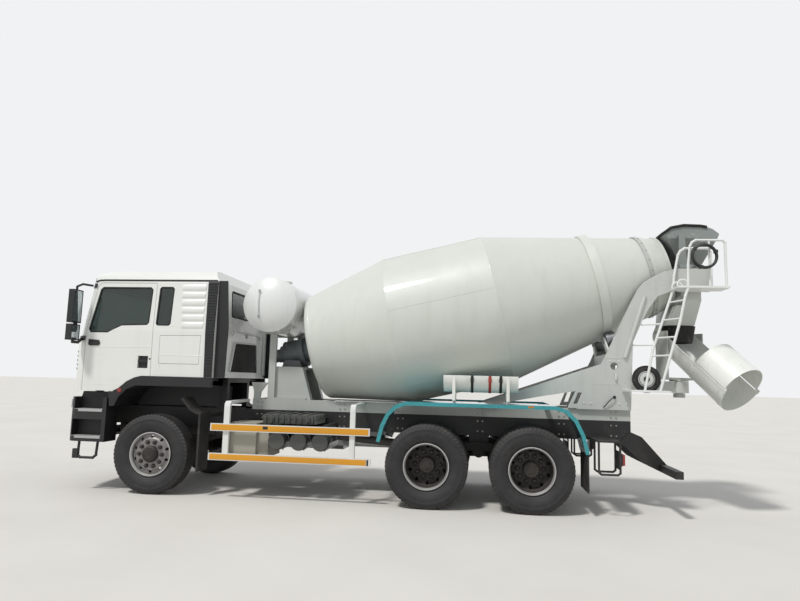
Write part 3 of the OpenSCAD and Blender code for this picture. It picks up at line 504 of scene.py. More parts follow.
@dataclass(frozen=True)
class Glazing:
    """Tinted glass, or a clear or coloured lens."""

    name: str
    colour: str
    rough: float = 0.02
    clear: float = 0.9
    ribs: float = 0.0

    def build(self, effects: Effects) -> bpy.types.Material:
        """Makes the material.

        Args:
            effects: the shared shader groups.

        Returns:
            The finished material.
        """
        coat = Coat(self.name, self.colour)
        graph = coat.graph
        dirt = graph.group(effects.dirt, Amount=0.22, Scale=5.0, Top=4.0).outputs[0]
        colour = graph.blend(dirt, tone(self.colour), tone(GLASS_DUST_TONE))
        rough = graph.math("ADD", graph.times(dirt, 0.3), self.rough)
        wave = graph.add("TexWave", {"Vector": graph.place(), "Scale": 14.0}, bands_direction="X")
        bump = graph.add("Bump", {"Height": wave.outputs[1], "Strength": self.ribs, "Distance": 0.002})
        return coat.close({"Base Color": colour, "Roughness": rough, "Transmission Weight": self.clear,
                           "IOR": 1.45, "Coat Weight": 0.3, "Normal": bump.outputs[0]})


@dataclass(frozen=True)
class TyreRubber:
    """Rubber of one wheel, with fine rings on its side wall and dust in the tread."""

    name: str
    centre: Vector
    colour: str = "17171a"
    worn: str = "212124"
    dust_tone: str = "5d5750"
    ring_pitch: float = 900.0

    def build(self, effects: Effects) -> bpy.types.Material:
        """Makes the material.

        Args:
            effects: the shared shader groups.

        Returns:
            The finished material.
        """
        coat = Coat(self.name, "1b1b1d")
        graph = coat.graph
        place = graph.place()
        arm = graph.vector("SUBTRACT", place, (self.centre.x, 0.0, self.centre.z)).outputs[0]
        flat = graph.vector("MULTIPLY", arm, (1.0, 0.0, 1.0)).outputs[0]
        radius = graph.vector("LENGTH", flat).outputs["Value"]
        rings = graph.times(graph.math("SINE", graph.times(radius, self.ring_pitch)), graph.ramp(radius, 0.505, 0.49))
        grain = graph.group(effects.grain, Scale=90.0, Slow=4.0).outputs
        colour = graph.blend(grain["Shade"], tone(self.colour), tone(self.worn))
        dusty = graph.ramp(graph.noise(place, 7.0, 8.0, 0.65), 0.42, 0.76, 0.04, 0.5)
        mask = graph.times(dusty, graph.ramp(radius, 0.50, 0.53, 0.35, 1.0))
        colour = graph.blend(mask, colour, tone(self.dust_tone))
        height = graph.math("ADD", graph.times(rings, 0.25), grain["Height"])
        bump = graph.add("Bump", {"Height": height, "Strength": 0.6, "Distance": 0.0015})
        return coat.close({"Base Color": colour, "Roughness": graph.ramp(mask, 0, 1, 0.62, 0.9),
                           "Normal": bump.outputs[0]})


FINISHES = (
    # cab_white: the darker edge tone paints shade along the edges.
    Finish("cab_white", "e4e5e1", 0.3, coat=0.5, shade=0.03, dust=0.26, dust_top=2.2, streak=0.06, wear=0.1,
           wear_tone="b9b8b2", grain=60, depth=0.0003),
    Finish("drum_white", "cbcfc8", 0.44, coat=0.12, dust=0.12, dust_top=2.5, streak=0.1, splash=0.1, wear=0.12,
           wear_tone="b1b0a8", grain=40, depth=0.0006),
    Finish("tank_white", "e2e4e2", 0.3, coat=0.4, shade=0.04, dust=0.12, dust_top=3.0, streak=0.14, wear=0.1),
    Finish("mixer_grey", "b4b8b3", 0.42, coat=0.15, shade=0.07, dust=0.2, dust_top=2.0, streak=0.14,
           splash=0.35, wear=0.5, wear_tone="7b746a"),
    Finish("pale_grey", "c9ccc8", 0.42, coat=0.15, shade=0.06, dust=0.18, dust_top=2.4, streak=0.16, splash=0.3,
           wear=0.45, wear_tone="85807a"),
    Finish("hopper_grey", "8a9190", 0.5, shade=0.08, dust=0.2, dust_top=4.0, streak=0.3, splash=0.9, wear=0.6,
           wear_tone="5f5d58"),
    Finish("chute_white", "e4e6e1", 0.4, coat=0.1, shade=0.06, dust=0.2, dust_top=2.6, streak=0.2, splash=0.5,
           wear=0.4, wear_tone="8c887f"),
    Finish("ladder_white", "e3e5e2", 0.4, shade=0.04, dust=0.15, dust_top=3.0, wear=0.6, wear_tone="8b8a84",
           wear_width=0.004),
    Finish("chassis_black", "121316", 0.5, shade=0.12, dust=0.2, dust_top=1.5, dust_tone="6f685e", splash=0.1,
           wear=0.4, wear_tone="3c3935"),
    Finish("axle_black", "151516", 0.65, shade=0.15, dust_top=1.3, dust_tone="6f685e", wear=0.4,
           wear_tone="47423a"),
    Finish("engine_iron", "4a4c4d", 0.6, metal=0.3, shade=0.2, dust=0.5, dust_top=1.8, wear=0.4,
           wear_tone="77746d", grain=70, depth=0.0012),
    Finish("wheel_silver", "8f8d8c", 0.4, metal=0.6, shade=0.12, dust=0.35, dust_top=1.2, dust_tone="6b655d",
           wear=0.6, wear_tone="d6d2ce", wear_width=0.004, grain=220, depth=0.0003),
    # Rear wheel dishes: the same steel as the front rims, painted dark as painted shade for the shadow they sit in.
    Finish("wheel_dark", "4b4846", 0.5, metal=0.45, shade=0.2, dust=0.4, dust_top=1.2, dust_tone="5b554e",
           wear=0.5, wear_tone="8b8682", wear_width=0.004, grain=200),
    # Rim flange: the rim's steel painted bright as a painted highlight, with a near-white painted glint on its edges.
    Finish("flange_bright", "c9c8c7", 0.28, metal=0.75, shade=0.12, dust=0.2, dust_top=1.2, wear=0.3,
           wear_tone="efeeec", wear_width=0.003, grain=240, depth=0.0002),
    Finish("nut_steel", "3b3937", 0.38, metal=0.6, shade=0.15, dust=0.2, dust_top=1.2, wear=0.4,
           wear_tone="a9a6a0", wear_width=0.003, grain=260, depth=0.0003),
    Finish("hub_dark", "262422", 0.5, metal=0.4, shade=0.2, dust=0.25, dust_top=1.2, wear=0.4,
           wear_tone="77706a", grain=200, depth=0.0006),
    Finish("gap_line", "55575a", 0.7, shade=0.1, dust=0.1, dust_top=2.0, wear=0.0, grain=200),
    Finish("reflector", "d5d8da", 0.12, metal=0.95, dust=0.05, dust_top=2.0, wear=0.0),
    Finish("mirror_face", "c9d2d6", 0.03, metal=1.0, shade=0.02, dust=0.05, dust_top=3.0, wear=0.0),
    Finish("black_plastic", "141518", 0.5, shade=0.06, dust=0.14, dust_top=1.9, dust_tone="6d6a66",
           wear_tone="33353a", grain=420, depth=0.0006),
    Finish("gloss_black", "0e0f11", 0.34, coat=0.15, dust=0.08, dust_top=3.0, wear=0.15, wear_tone="303236"),
    Finish("matt_rubber", "131416", 0.75, shade=0.12, dust=0.2, splash=0.2, wear=0.3, wear_tone="3a3938",
           grain=160, depth=0.001),
    Finish("air_tank_grey", "2f3332", 0.28, coat=0.5, shade=0.1, dust=0.22, dust_top=1.5, wear_tone="5b5a55"),
    Finish("box_beige", "a19e92", 0.5, shade=0.1, dust=0.4, dust_top=1.4, wear=0.4, wear_tone="6d675c"),
    Finish("lid_grey", "3c403d", 0.5, shade=0.1, wear=0.5, wear_tone="85857e"),
    Finish("mill_aluminium", "a9acae", 0.32, metal=0.85, shade=0.1, dust=0.4, dust_top=1.4, wear=0.2,
           wear_tone="d2d4d6", grain=500, depth=0.0003),
    Finish("bare_steel", "8a8d90", 0.3, metal=0.9, shade=0.15, dust=0.2, dust_top=2.2, wear=0.3,
           wear_tone="c3c4c5", grain=300, depth=0.0003),
    Finish("bolt_zinc", "9b9c98", 0.38, metal=0.8, shade=0.1, dust_top=2.0, wear=0.2, wear_tone="c6c6c2"),
    Finish("gearbox_blue_grey", "646c70", 0.5, metal=0.1, shade=0.15, dust=0.35, dust_top=2.4, splash=0.2,
           wear=0.5, wear_tone="8b8b86", grain=60, depth=0.001),
    # teal_film: the pale teal edge tone paints highlights on the film's edges.
    Finish("teal_film", "0a8f98", 0.2, coat=0.9, shade=0.2, dust=0.06, wear=0.3, wear_tone="4fc9bd", grain=17,
           depth=0.03),
    Finish("guard_orange", "d8950a", 0.4, coat=0.2, shade=0.08, dust=0.1, dust_top=1.4, wear=0.1,
           wear_tone="c2b48e", grain=260),
    Finish("guard_white", "dfe0dd", 0.38, coat=0.2, dust=0.2, streak=0.1, wear=0.4, wear_tone="8d8b84"),
    Finish("trim_grey", "3b3c3f", 0.7, shade=0.08, dust=0.1, dust_top=2.0, wear=0.2, wear_tone="55565a",
           grain=320, depth=0.0006),
    Finish("seat_cloth", "2d2f36", 0.9, shade=0.15, dust=0.1, dust_top=2.0, wear=0.2, wear_tone="474a52",
           grain=700, depth=0.002),
    Finish("step_steel", "b9bbbc", 0.36, metal=0.75, shade=0.1, wear=0.4, wear_tone="dedfe0", grain=380,
           depth=0.0008),
    Finish("hose_black", "1a1b1d", 0.5, shade=0.1, dust_top=2.0, wear=0.1, wear_tone="3c3d3f", grain=240,
           depth=0.0006),
    Finish("strap_red", "9c2f26", 0.7, shade=0.1, dust=0.2, dust_top=2.0, wear=0.2, wear_tone="b26a5e",
           grain=800, depth=0.001),
)
GLASSES = (
    Glazing("tinted_glass", "5d706c", 0.02, 0.86),
    Glazing("clear_lens", "e9eced", 0.05, 0.8, 0.4),
    Glazing("red_lens", "b3231a", 0.12, 0.35, 0.5),
    Glazing("amber_lens", "d9871c", 0.12, 0.35, 0.4),
)
NODE_FINISH = {
    "chassis_black": ("chassis_frame", "underrun"),
    "axle_black": ("front_axle", "knuckle_left", "knuckle_right", "rear_axles", "rear_springs"),
    "engine_iron": ("engine",),
    "wheel_silver": ("rim_front_left", "rim_front_right"),
    # The mid and rear rims take the painted shade of their dishes.
    "wheel_dark": ("rims_mid_left", "rims_mid_right", "rims_rear_left", "rims_rear_right"),
    "air_tank_grey": ("air_tanks",),
    "box_beige": ("side_boxes",),
    "mill_aluminium": ("fuel_tank", "silencer"),
    "guard_white": ("side_guards",),
    "teal_film": ("rear_fenders",),
    "matt_rubber": ("mudflaps", "skirt", "hose_reel"),
    "black_plastic": ("bumper", "grille", "cab_fenders", "deflectors"),
    "gloss_black": ("sun_visor", "mirrors"),
    "cab_white": ("cab_shell", "door_left", "door_right"),
    "tinted_glass": ("cab_glass", "door_glass_left", "door_glass_right"),
    "trim_grey": ("cab_interior",),
    "seat_cloth": ("seats",),
    "mixer_grey": ("subframe", "pedestal", "slew"),
    "pale_grey": ("rear_frame", "collector"),
    "bare_steel": ("roller_left", "roller_right"),
    "hopper_grey": ("hopper",),
    "gearbox_blue_grey": ("gearbox",),
    "drum_white": ("drum",),
    "tank_white": ("water_tank",),
    "chute_white": ("chute", "chute_end", "spare_chutes"),
    "ladder_white": ("ladder",),
    "red_lens": ("lamps",),
}


class Workshop:
    """Holds the materials and turns shapes into pieces of the truck."""

    def __init__(self) -> None:
        """Builds the shared groups and every finish."""
        self.effects = Effects()
        self.materials = {f.name: f.build(self.effects) for f in (*FINISHES, *GLASSES)}

    def dress(self, node: str, finish: str) -> None:
        """Gives a CAD node its finish.

        Args:
            node: name of the node.
            finish: name of the finish.
        """
        slots = frame["nodes"][node].data.materials
        slots.clear()
        slots.append(self.materials[finish])

    def dress_all(self) -> None:
        """Gives each CAD node the finish from the table."""
        for finish, nodes in NODE_FINISH.items():
            for node in nodes:
                self.dress(node, finish)
                LOG.info("dressed %s with %s", node, finish)


class Shape:
    """A mesh under construction, counted from the front axle in millimetres."""

    def __init__(self, name: str) -> None:
        """Args: name: name of the piece."""
        self.name = name
        self.mesh = bmesh.new()

    def grid(self, rows: Sequence[Sequence[Point]], closed_rows: bool = False, closed_columns: bool = False,
             capped: bool = False) -> None:
        """Skins rows of points.

        Args:
            rows: lists of points, all of one length.
            closed_rows: joins the last point of each row to its first.
            closed_columns: joins the last row to the first.
            capped: fills the first and the last row.
        """
        verts = [[self.mesh.verts.new(spot(*p)) for p in row] for row in rows]
        count, width = len(rows), len(rows[0])
        for i in range(count if closed_columns else count - 1):
            after = verts[(i + 1) % count]
            for j in range(width if closed_rows else width - 1):
                k = (j + 1) % width
                self.mesh.faces.new((verts[i][j], verts[i][k], after[k], after[j]))
        if capped:
            self.mesh.faces.new(verts[0][::-1])
            self.mesh.faces.new(verts[-1])

    def block(self, low: Point, high: Point, chamfer: float = 3.0) -> None:
        """Box with chamfered edges.

        Args:
            low: one corner.
            high: the opposite corner.
            chamfer: width of the chamfer.
        """
        low, high = zip(*(sorted(pair) for pair in zip(low, high)))
        made = bmesh.ops.create_cube(self.mesh, size=1.0)["verts"]
        middle = [(a + b) / 2 for a, b in zip(low, high)]
        size = [(b - a) * MM for a, b in zip(low, high)]
        for v in made:
            v.co = spot(*middle) + Vector(c * s for c, s in zip(v.co, size))
        self.bevel({e for v in made for e in v.link_edges}, min(chamfer * MM, min(size) * 0.4))

    def prism(self, outline: Sequence[Point], shift: Point, chamfer: float = 0.0) -> None:
        """Solid between an outline and its moved copy.

        Args:
            outline: corners of the outline.
            shift: how far the copy is moved.
            chamfer: width of the chamfer, or 0 for sharp edges.
        """
        first = [self.mesh.verts.new(spot(*p)) for p in outline]
        second = [self.mesh.verts.new(spot(*[a + b for a, b in zip(p, shift)])) for p in outline]
        faces = [self.mesh.faces.new(first[::-1]), self.mesh.faces.new(second)]
        for i in range(len(first)):
            j = (i + 1) % len(first)
            faces.append(self.mesh.faces.new((first[i], first[j], second[j], second[i])))
        if chamfer:
            self.bevel({e for f in faces for e in f.edges}, chamfer * MM)

    def bevel(self, edges: Iterable[bmesh.types.BMEdge], width: float) -> None:
        """Rounds edges off by a width in metres."""
        bmesh.ops.bevel(self.mesh, geom=list(edges), offset=width, segments=2, profile=0.7, affect="EDGES")

    @staticmethod
    def along(path: Sequence[Point], closed: bool) -> Iterator[tuple[Vector, Vector]]:
        """Walks along a path.

        Args:
            path: the points.
            closed: goes on from the end to the start.

        Returns:
            Each point with the way ahead there.
        """
        points = [Vector(p) for p in path]
        for i, point in enumerate(points):
            before = points[i - 1] if closed or i else point
            after = points[(i + 1) % len(points)] if closed or i < len(points) - 1 else point
            yield point, (after - before).normalized()

    def tube(self, path: Sequence[Point], radius: float, sides: int = 12, closed: bool = False) -> None:
        """Round tube along a path.

        Args:
            path: points of its middle line.
            radius: radius of the tube.
            sides: corners of its section.
            closed: joins the end to the start.
        """
        rows, lift = [], None
        for point, ahead in self.along(path, closed):
            lift = lift or ahead.orthogonal()
            lift = (lift - ahead * lift.dot(ahead)).normalized()
            across = ahead.cross(lift)
            rows.append([point + (lift * math.cos(a) + across * math.sin(a)) * radius
                         for a in turns(sides)])
        self.grid(rows, closed_rows=True, closed_columns=closed, capped=not closed)

    @staticmethod
    def circle(centre: Point, axis: Point, radius: float, height: float, sides: int) -> list[Vector]:
        """Circle about an axis.

        Args:
            centre: foot of the axis.
            axis: direction of the axis.
            radius: radius of the circle.
            height: how far it lies from the foot.
            sides: number of points.

        Returns:
            The points.
        """
        way = Vector(axis).normalized()
        lift = way.orthogonal().normalized()
        across = way.cross(lift)
        return [Vector(centre) + way * height + (lift * math.cos(a) + across * math.sin(a)) * radius
                for a in turns(sides)]

    def lathe(self, centre: Point, axis: Point, profile: Sequence[Point], sides: int = 48,
              closed: bool = False) -> None:
        """Turned shape about an axis.

        Args:
            centre: foot of the axis.
            axis: direction of the axis.
            profile: radius and height of each corner.
            sides: corners around.
            closed: joins the last corner to the first, as in a band.
        """
        rows = [self.circle(centre, axis, r, h, sides) for r, h in profile]
        self.grid(rows, closed_rows=True, closed_columns=closed, capped=not closed)

    def disc(self, centre: Point, axis: Point, radius: float, height: float, sides: int = 16) -> None:
        """Short cylinder with a rounded rim, its foot at centre."""
        cut = min(radius, height) * 0.15
        self.lathe(centre, axis, ((radius, 0), (radius, height - cut), (radius - cut, height)), sides)

    def bolt(self, centre: Point, axis: Point, size: float = 12.0) -> None:
        """Hexagon head on a washer.

        Args:
            centre: where the washer lies.
            axis: direction of the head.
            size: radius of the hexagon.
        """
        way = Vector(axis).normalized()
        self.disc(centre, way, size * 1.25, size * 0.25, 16)
        self.disc(Vector(centre) + way * size * 0.25, way, size, size * 0.8, 6)

    def ring(self, centre: Point, axis: Point, radius: float, section: float, turns: int = 48) -> None:
        """Round ring about an axis."""
        self.tube(self.circle(centre, axis, radius, 0.0, turns), section, 8, closed=True)

    def bead(self, path: Sequence[Point], out: Point, width: float, rise: float, closed: bool = False) -> None:
        """Low rounded strip that follows a path on a wall.

        Args:
            path: points on the wall.
            out: direction away from the wall.
            width: width of the strip.
            rise: height of the strip over the wall.
            closed: joins the end to the start.
        """
        up = Vector(out).normalized()
        rows = []
        for point, ahead in self.along(path, closed):
            side = ahead.cross(up)
            rows.append([point + side * width * s / 2 + up * h for s, h in (
                (-1, -1.5), (-1, rise * 0.4), (-0.6, rise), (0.6, rise), (1, rise * 0.4), (1, -1.5))])
        self.grid(rows, closed_rows=True, closed_columns=closed, capped=not closed)

    def done(self, shop: Workshop, body: str, finish: str, sharp: float = 32.0) -> bpy.types.Object:
        """Makes the piece.

        Args:
            shop: the workshop with the materials.
            body: the CAD body that it rides on.
            finish: name of its finish.
            sharp: edges with a larger angle stay sharp.

        Returns:
            The object.
        """
        bmesh.ops.recalc_face_normals(self.mesh, faces=self.mesh.faces)
        for face in self.mesh.faces:
            face.smooth = True
        data = bpy.data.meshes.new(self.name)
        self.mesh.to_mesh(data)
        self.mesh.free()
        data.set_sharp_from_angle(angle=math.radians(sharp))
        piece = stand(self.name, data)
        data.materials.append(shop.materials[finish])
        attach(piece, body)
        LOG.info("built %s on %s: %d faces", self.name, body, len(data.polygons))
        return piece


@dataclass
class Studio:
    """Camera, light, floor and backdrop."""

    focal: float = 28.57
    place: tuple[float, float, float] = (1.105451, -9.609, 1.638)
    yaw: float = 0.1265
    pitch: float = 0.1254
    roll: float = 0.0262
    sun_power: float = 2.3
    sun_spread: float = 7.0
    sun_turn: tuple[float, float, float] = (30.0, -16.0, -8.0)
    sky: str = "f1f2f3"
    sky_light: str = "eef2f6"
    sky_power: float = 0.62
    floor: str = "d6d3ce"
    floor_stain: str = "cfccc6"
    floor_size: float = 150.0

    def camera(self) -> None:
        """Sets the camera as it stood for the photograph."""
        data = bpy.data.cameras.new("photo_camera")
        data.lens = self.focal
        data.sensor_width = 36.0
        data.clip_end = 400.0
        eye = stand("photo_camera", data)
        ahead = Vector((-math.sin(self.yaw) * math.cos(self.pitch),
                        math.cos(self.yaw) * math.cos(self.pitch), math.sin(self.pitch)))
        right = Vector((math.cos(self.yaw), math.sin(self.yaw), 0.0))
        up = right.cross(ahead)
        side = right * math.cos(self.roll) + up * math.sin(self.roll)
        top = up * math.cos(self.roll) - right * math.sin(self.roll)
        turn = Matrix((side, top, -ahead)).transposed().to_4x4()
        eye.matrix_world = Matrix.Translation(self.place) @ turn
        bpy.context.scene.camera = eye

    def lights(self) -> None:
        """Adds a soft sun and an even sky, which the camera and mirrors see brighter than it lights."""
        sun = bpy.data.lights.new("soft_sun", "SUN")
        sun.energy = self.sun_power
        sun.angle = math.radians(self.sun_spread)
        sun.color = (1.0, 0.985, 0.96)
        stand("soft_sun", sun).rotation_euler = [math.radians(a) for a in self.sun_turn]
        world = bpy.data.worlds.new("even_sky")
        world.use_nodes = True
        bpy.context.scene.world = world
        graph = Graph(world.node_tree)
        rays = graph.add("LightPath").outputs
        seen = graph.math("MAXIMUM", rays["Is Camera Ray"],
                          graph.math("MAXIMUM", rays["Is Glossy Ray"], rays["Is Transmission Ray"]))
        soft = graph.add("Background", {"Color": tone(self.sky_light), "Strength": self.sky_power})
        pale = graph.add("Background", {"Color": tone(self.sky), "Strength": 1.0})
        mix = graph.add("MixShader", {0: seen, 1: soft.outputs[0], 2: pale.outputs[0]})
        graph.add("OutputWorld", {0: mix.outputs[0]})

    def ground(self) -> None:
        """Lays a plain pale floor."""
        data = bpy.data.meshes.new("floor")
        size = self.floor_size
        data.from_pydata([(-size, -size, 0), (size, -size, 0), (size, size, 0), (-size, size, 0)], [],
                         [(0, 1, 2, 3)])
        floor = stand("floor", data)
        coat = Coat("pale_floor", self.floor)
        cloud = coat.graph.ramp(coat.graph.noise(coat.graph.place(), 0.6, 6.0), 0.3, 0.7)
        colour = coat.graph.blend(cloud, tone(self.floor), tone(self.floor_stain))
        data.materials.append(coat.close({"Base Color": colour, "Roughness": 0.85}))
        floor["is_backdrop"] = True

    def build(self) -> None:
        """Sets the whole stage."""
        bpy.context.scene.view_settings.view_transform = "Standard"
        self.camera()
        self.lights()
        self.ground()


@dataclass
class Assembly:
    """Part of the truck that is fitted out from the workshop."""

    shop: Workshop


class Zone(Enum):
    """Part of a tyre's section."""

    WALL = 0
    SHOULDER = 1
    RIB = 2
    GROOVE = 3


@dataclass
class Wheels(Assembly):
    """Tyres with their tread, which stand for the plain ones, and the small parts of the wheels."""

    pitches: int = 60
    groove: float = 7.0
    notch: float = 4.0
    wave: float = 0.010
    nuts: int = 10
    nut_circle: float = 167.0
    hub_bolts: int = 12

    @staticmethod
    def profile() -> list[tuple[float, float, Zone]]:
        """Half section of the tyre.

        Returns:
            Radius, offset and zone of each corner, from the rim to the middle.
        """
        wall = ((286, 112), (320, 116), (334, 128), (340, 131), (344, 130), (368, 142), (400, 148), (413, 150),
                (430, 149.5), (458, 146), (463, 148), (480, 146), (486, 143))
        shoulder = ((504, 136), (526, 130), (538, 121), (541.5, 108), (542, 84))
        tread = ((542, 82), (530, 79), (530, 71), (542, 68), (542, 30), (530, 27), (530, 19), (542, 16))
        return ([(r, w, Zone.WALL) for r, w in wall] + [(r, w, Zone.SHOULDER) for r, w in shoulder]
                + [(r, w, Zone.RIB if r > 530 else Zone.GROOVE) for r, w in tread])

    def depth(self, radius: float, zone: Zone) -> float:
        """Depth of the cuts across the tread.

        Args:
            radius: radius of a point of the section.
            zone: zone of the point.

        Returns:
            How deep a cut goes there.
        """
        if zone is Zone.SHOULDER:
            return self.groove * min(1.0, (radius - 500) / 26)
        return self.notch if zone is Zone.RIB else 0.0

    def tyre(self, shape: Shape, x: float, y: float) -> None:
        """Adds one tyre.

        Args:
            shape: the shape that takes it.
            x: place of its axle.
            y: middle of its width.
        """
        half = self.profile()
        section = half + [(r, -w, zone) for r, w, zone in reversed(half)]
        rows = []
        for i in range(self.pitches):
            for part, cut in ((0.0, False), (0.70, False), (0.72, True), (0.98, True)):
                a = TURN * (i + part) / self.pitches
                row = []
                for r, w, zone in section:
                    lag = self.wave * math.sin(w / 22) if zone in (Zone.RIB, Zone.GROOVE) else 0.0
                    radius = r - (self.depth(r, zone) if cut else 0.0)
                    row.append((x + radius * math.cos(a + lag), y + w, TYRE_RADIUS + radius * math.sin(a + lag)))
                rows.append(row)
        shape.grid(rows, closed_columns=True)

    def build(self) -> None:
        """Builds the ten tyres, gives each wheel its rubber and adds its small parts."""
        twins = (REAR_WHEEL_Y, REAR_WHEEL_Y - TWIN_GAP)
        for row, x, places in (("front", 0.0, (FRONT_WHEEL_Y,)), ("mid", WHEELBASE, twins),
                               ("rear", LAST_AXLE, twins)):
            name = f"rubber_{row}"
            self.shop.materials[name] = TyreRubber(name, spot(x, 0, TYRE_RADIUS)).build(self.shop.effects)
            for side in Side:
                node = f"tyre_front_{side.word}" if row == "front" else f"tyres_{row}_{side.word}"
                body = body_of_node(node)
                shape = Shape(f"tread_{row}_{side.word}")
                for y in places:
                    self.tyre(shape, x, side.value * y)
                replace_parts(shape.done(self.shop, body, name, sharp=38), node)
                self.fittings(body, f"{row}_{side.word}", x, side.value * places[0], side.value)

    def fittings(self, body: str, wheel: str, x: float, y: float, out: int) -> None:
        """Adds the nuts, the valve, the rim flange and the hub cover of one wheel.

        Args:
            body: the CAD body of the wheel.
            wheel: row and side, as the names of the pieces have them.
            x: place of the axle.
            y: middle of the outer tyre.
            out: sign of Y that leads away from the truck.
        """
        front = wheel.startswith("front")
        face = y + out * (108 if front else -154)
        nuts = Shape(f"wheel_nuts_{wheel}")
        for a in turns(self.nuts):
            at = (x + self.nut_circle * math.cos(a), face, TYRE_RADIUS + self.nut_circle * math.sin(a))
            nuts.lathe(at, (0, out, 0), ((32, -1), (32, 5), (27, 8), (26, 26), (21, 33), (12, 35), (9, 39)), 12)
        nuts.tube([(x + 200, face - out * 6, TYRE_RADIUS + 60), (x + 214, face + out * 6, TYRE_RADIUS + 66),
                   (x + 226, face + out * 30, TYRE_RADIUS + 70)], 5, 8)
        nuts.done(self.shop, body, "nut_steel")
        # The flange band is painted bright as a painted highlight against the darker dish.
        lip = Shape(f"rim_flange_{wheel}")
        lip.lathe((x, y, TYRE_RADIUS), (0, out, 0),
                  ((285, 122), (298.5, 126), (298.5, 128.6), (288, 129.4), (271, 106.5), (271, 96), (273, 96)), 72,
                  closed=True)
        lip.done(self.shop, body, "flange_bright")
        if front:
            base, ring, size, lift = y + out * 110, 82, 7, 56
            section = ((114, -4), (114, 18), (110, 24), (106, 36), (98, 40), (88, 56), (70, 57), (66, 60), (40, 61),
                       (36, 58), (8, 58))
        else:
            base, ring, size, lift = y - out * 32, 80, 8, 27
            section = ((106, -6), (106, 14), (100, 20), (92, 27), (60, 29), (54, 34), (30, 36), (8, 36))
        cover = Shape(f"hub_cover_{wheel}")
        cover.lathe((x, base, TYRE_RADIUS), (0, out, 0), section, 40)
        for a in turns(self.hub_bolts, 0.5):
            cover.bolt((x + ring * math.cos(a), base + out * lift, TYRE_RADIUS + ring * math.sin(a)),
                       (0, out, 0), size)
        cover.done(self.shop, body, "hub_dark")


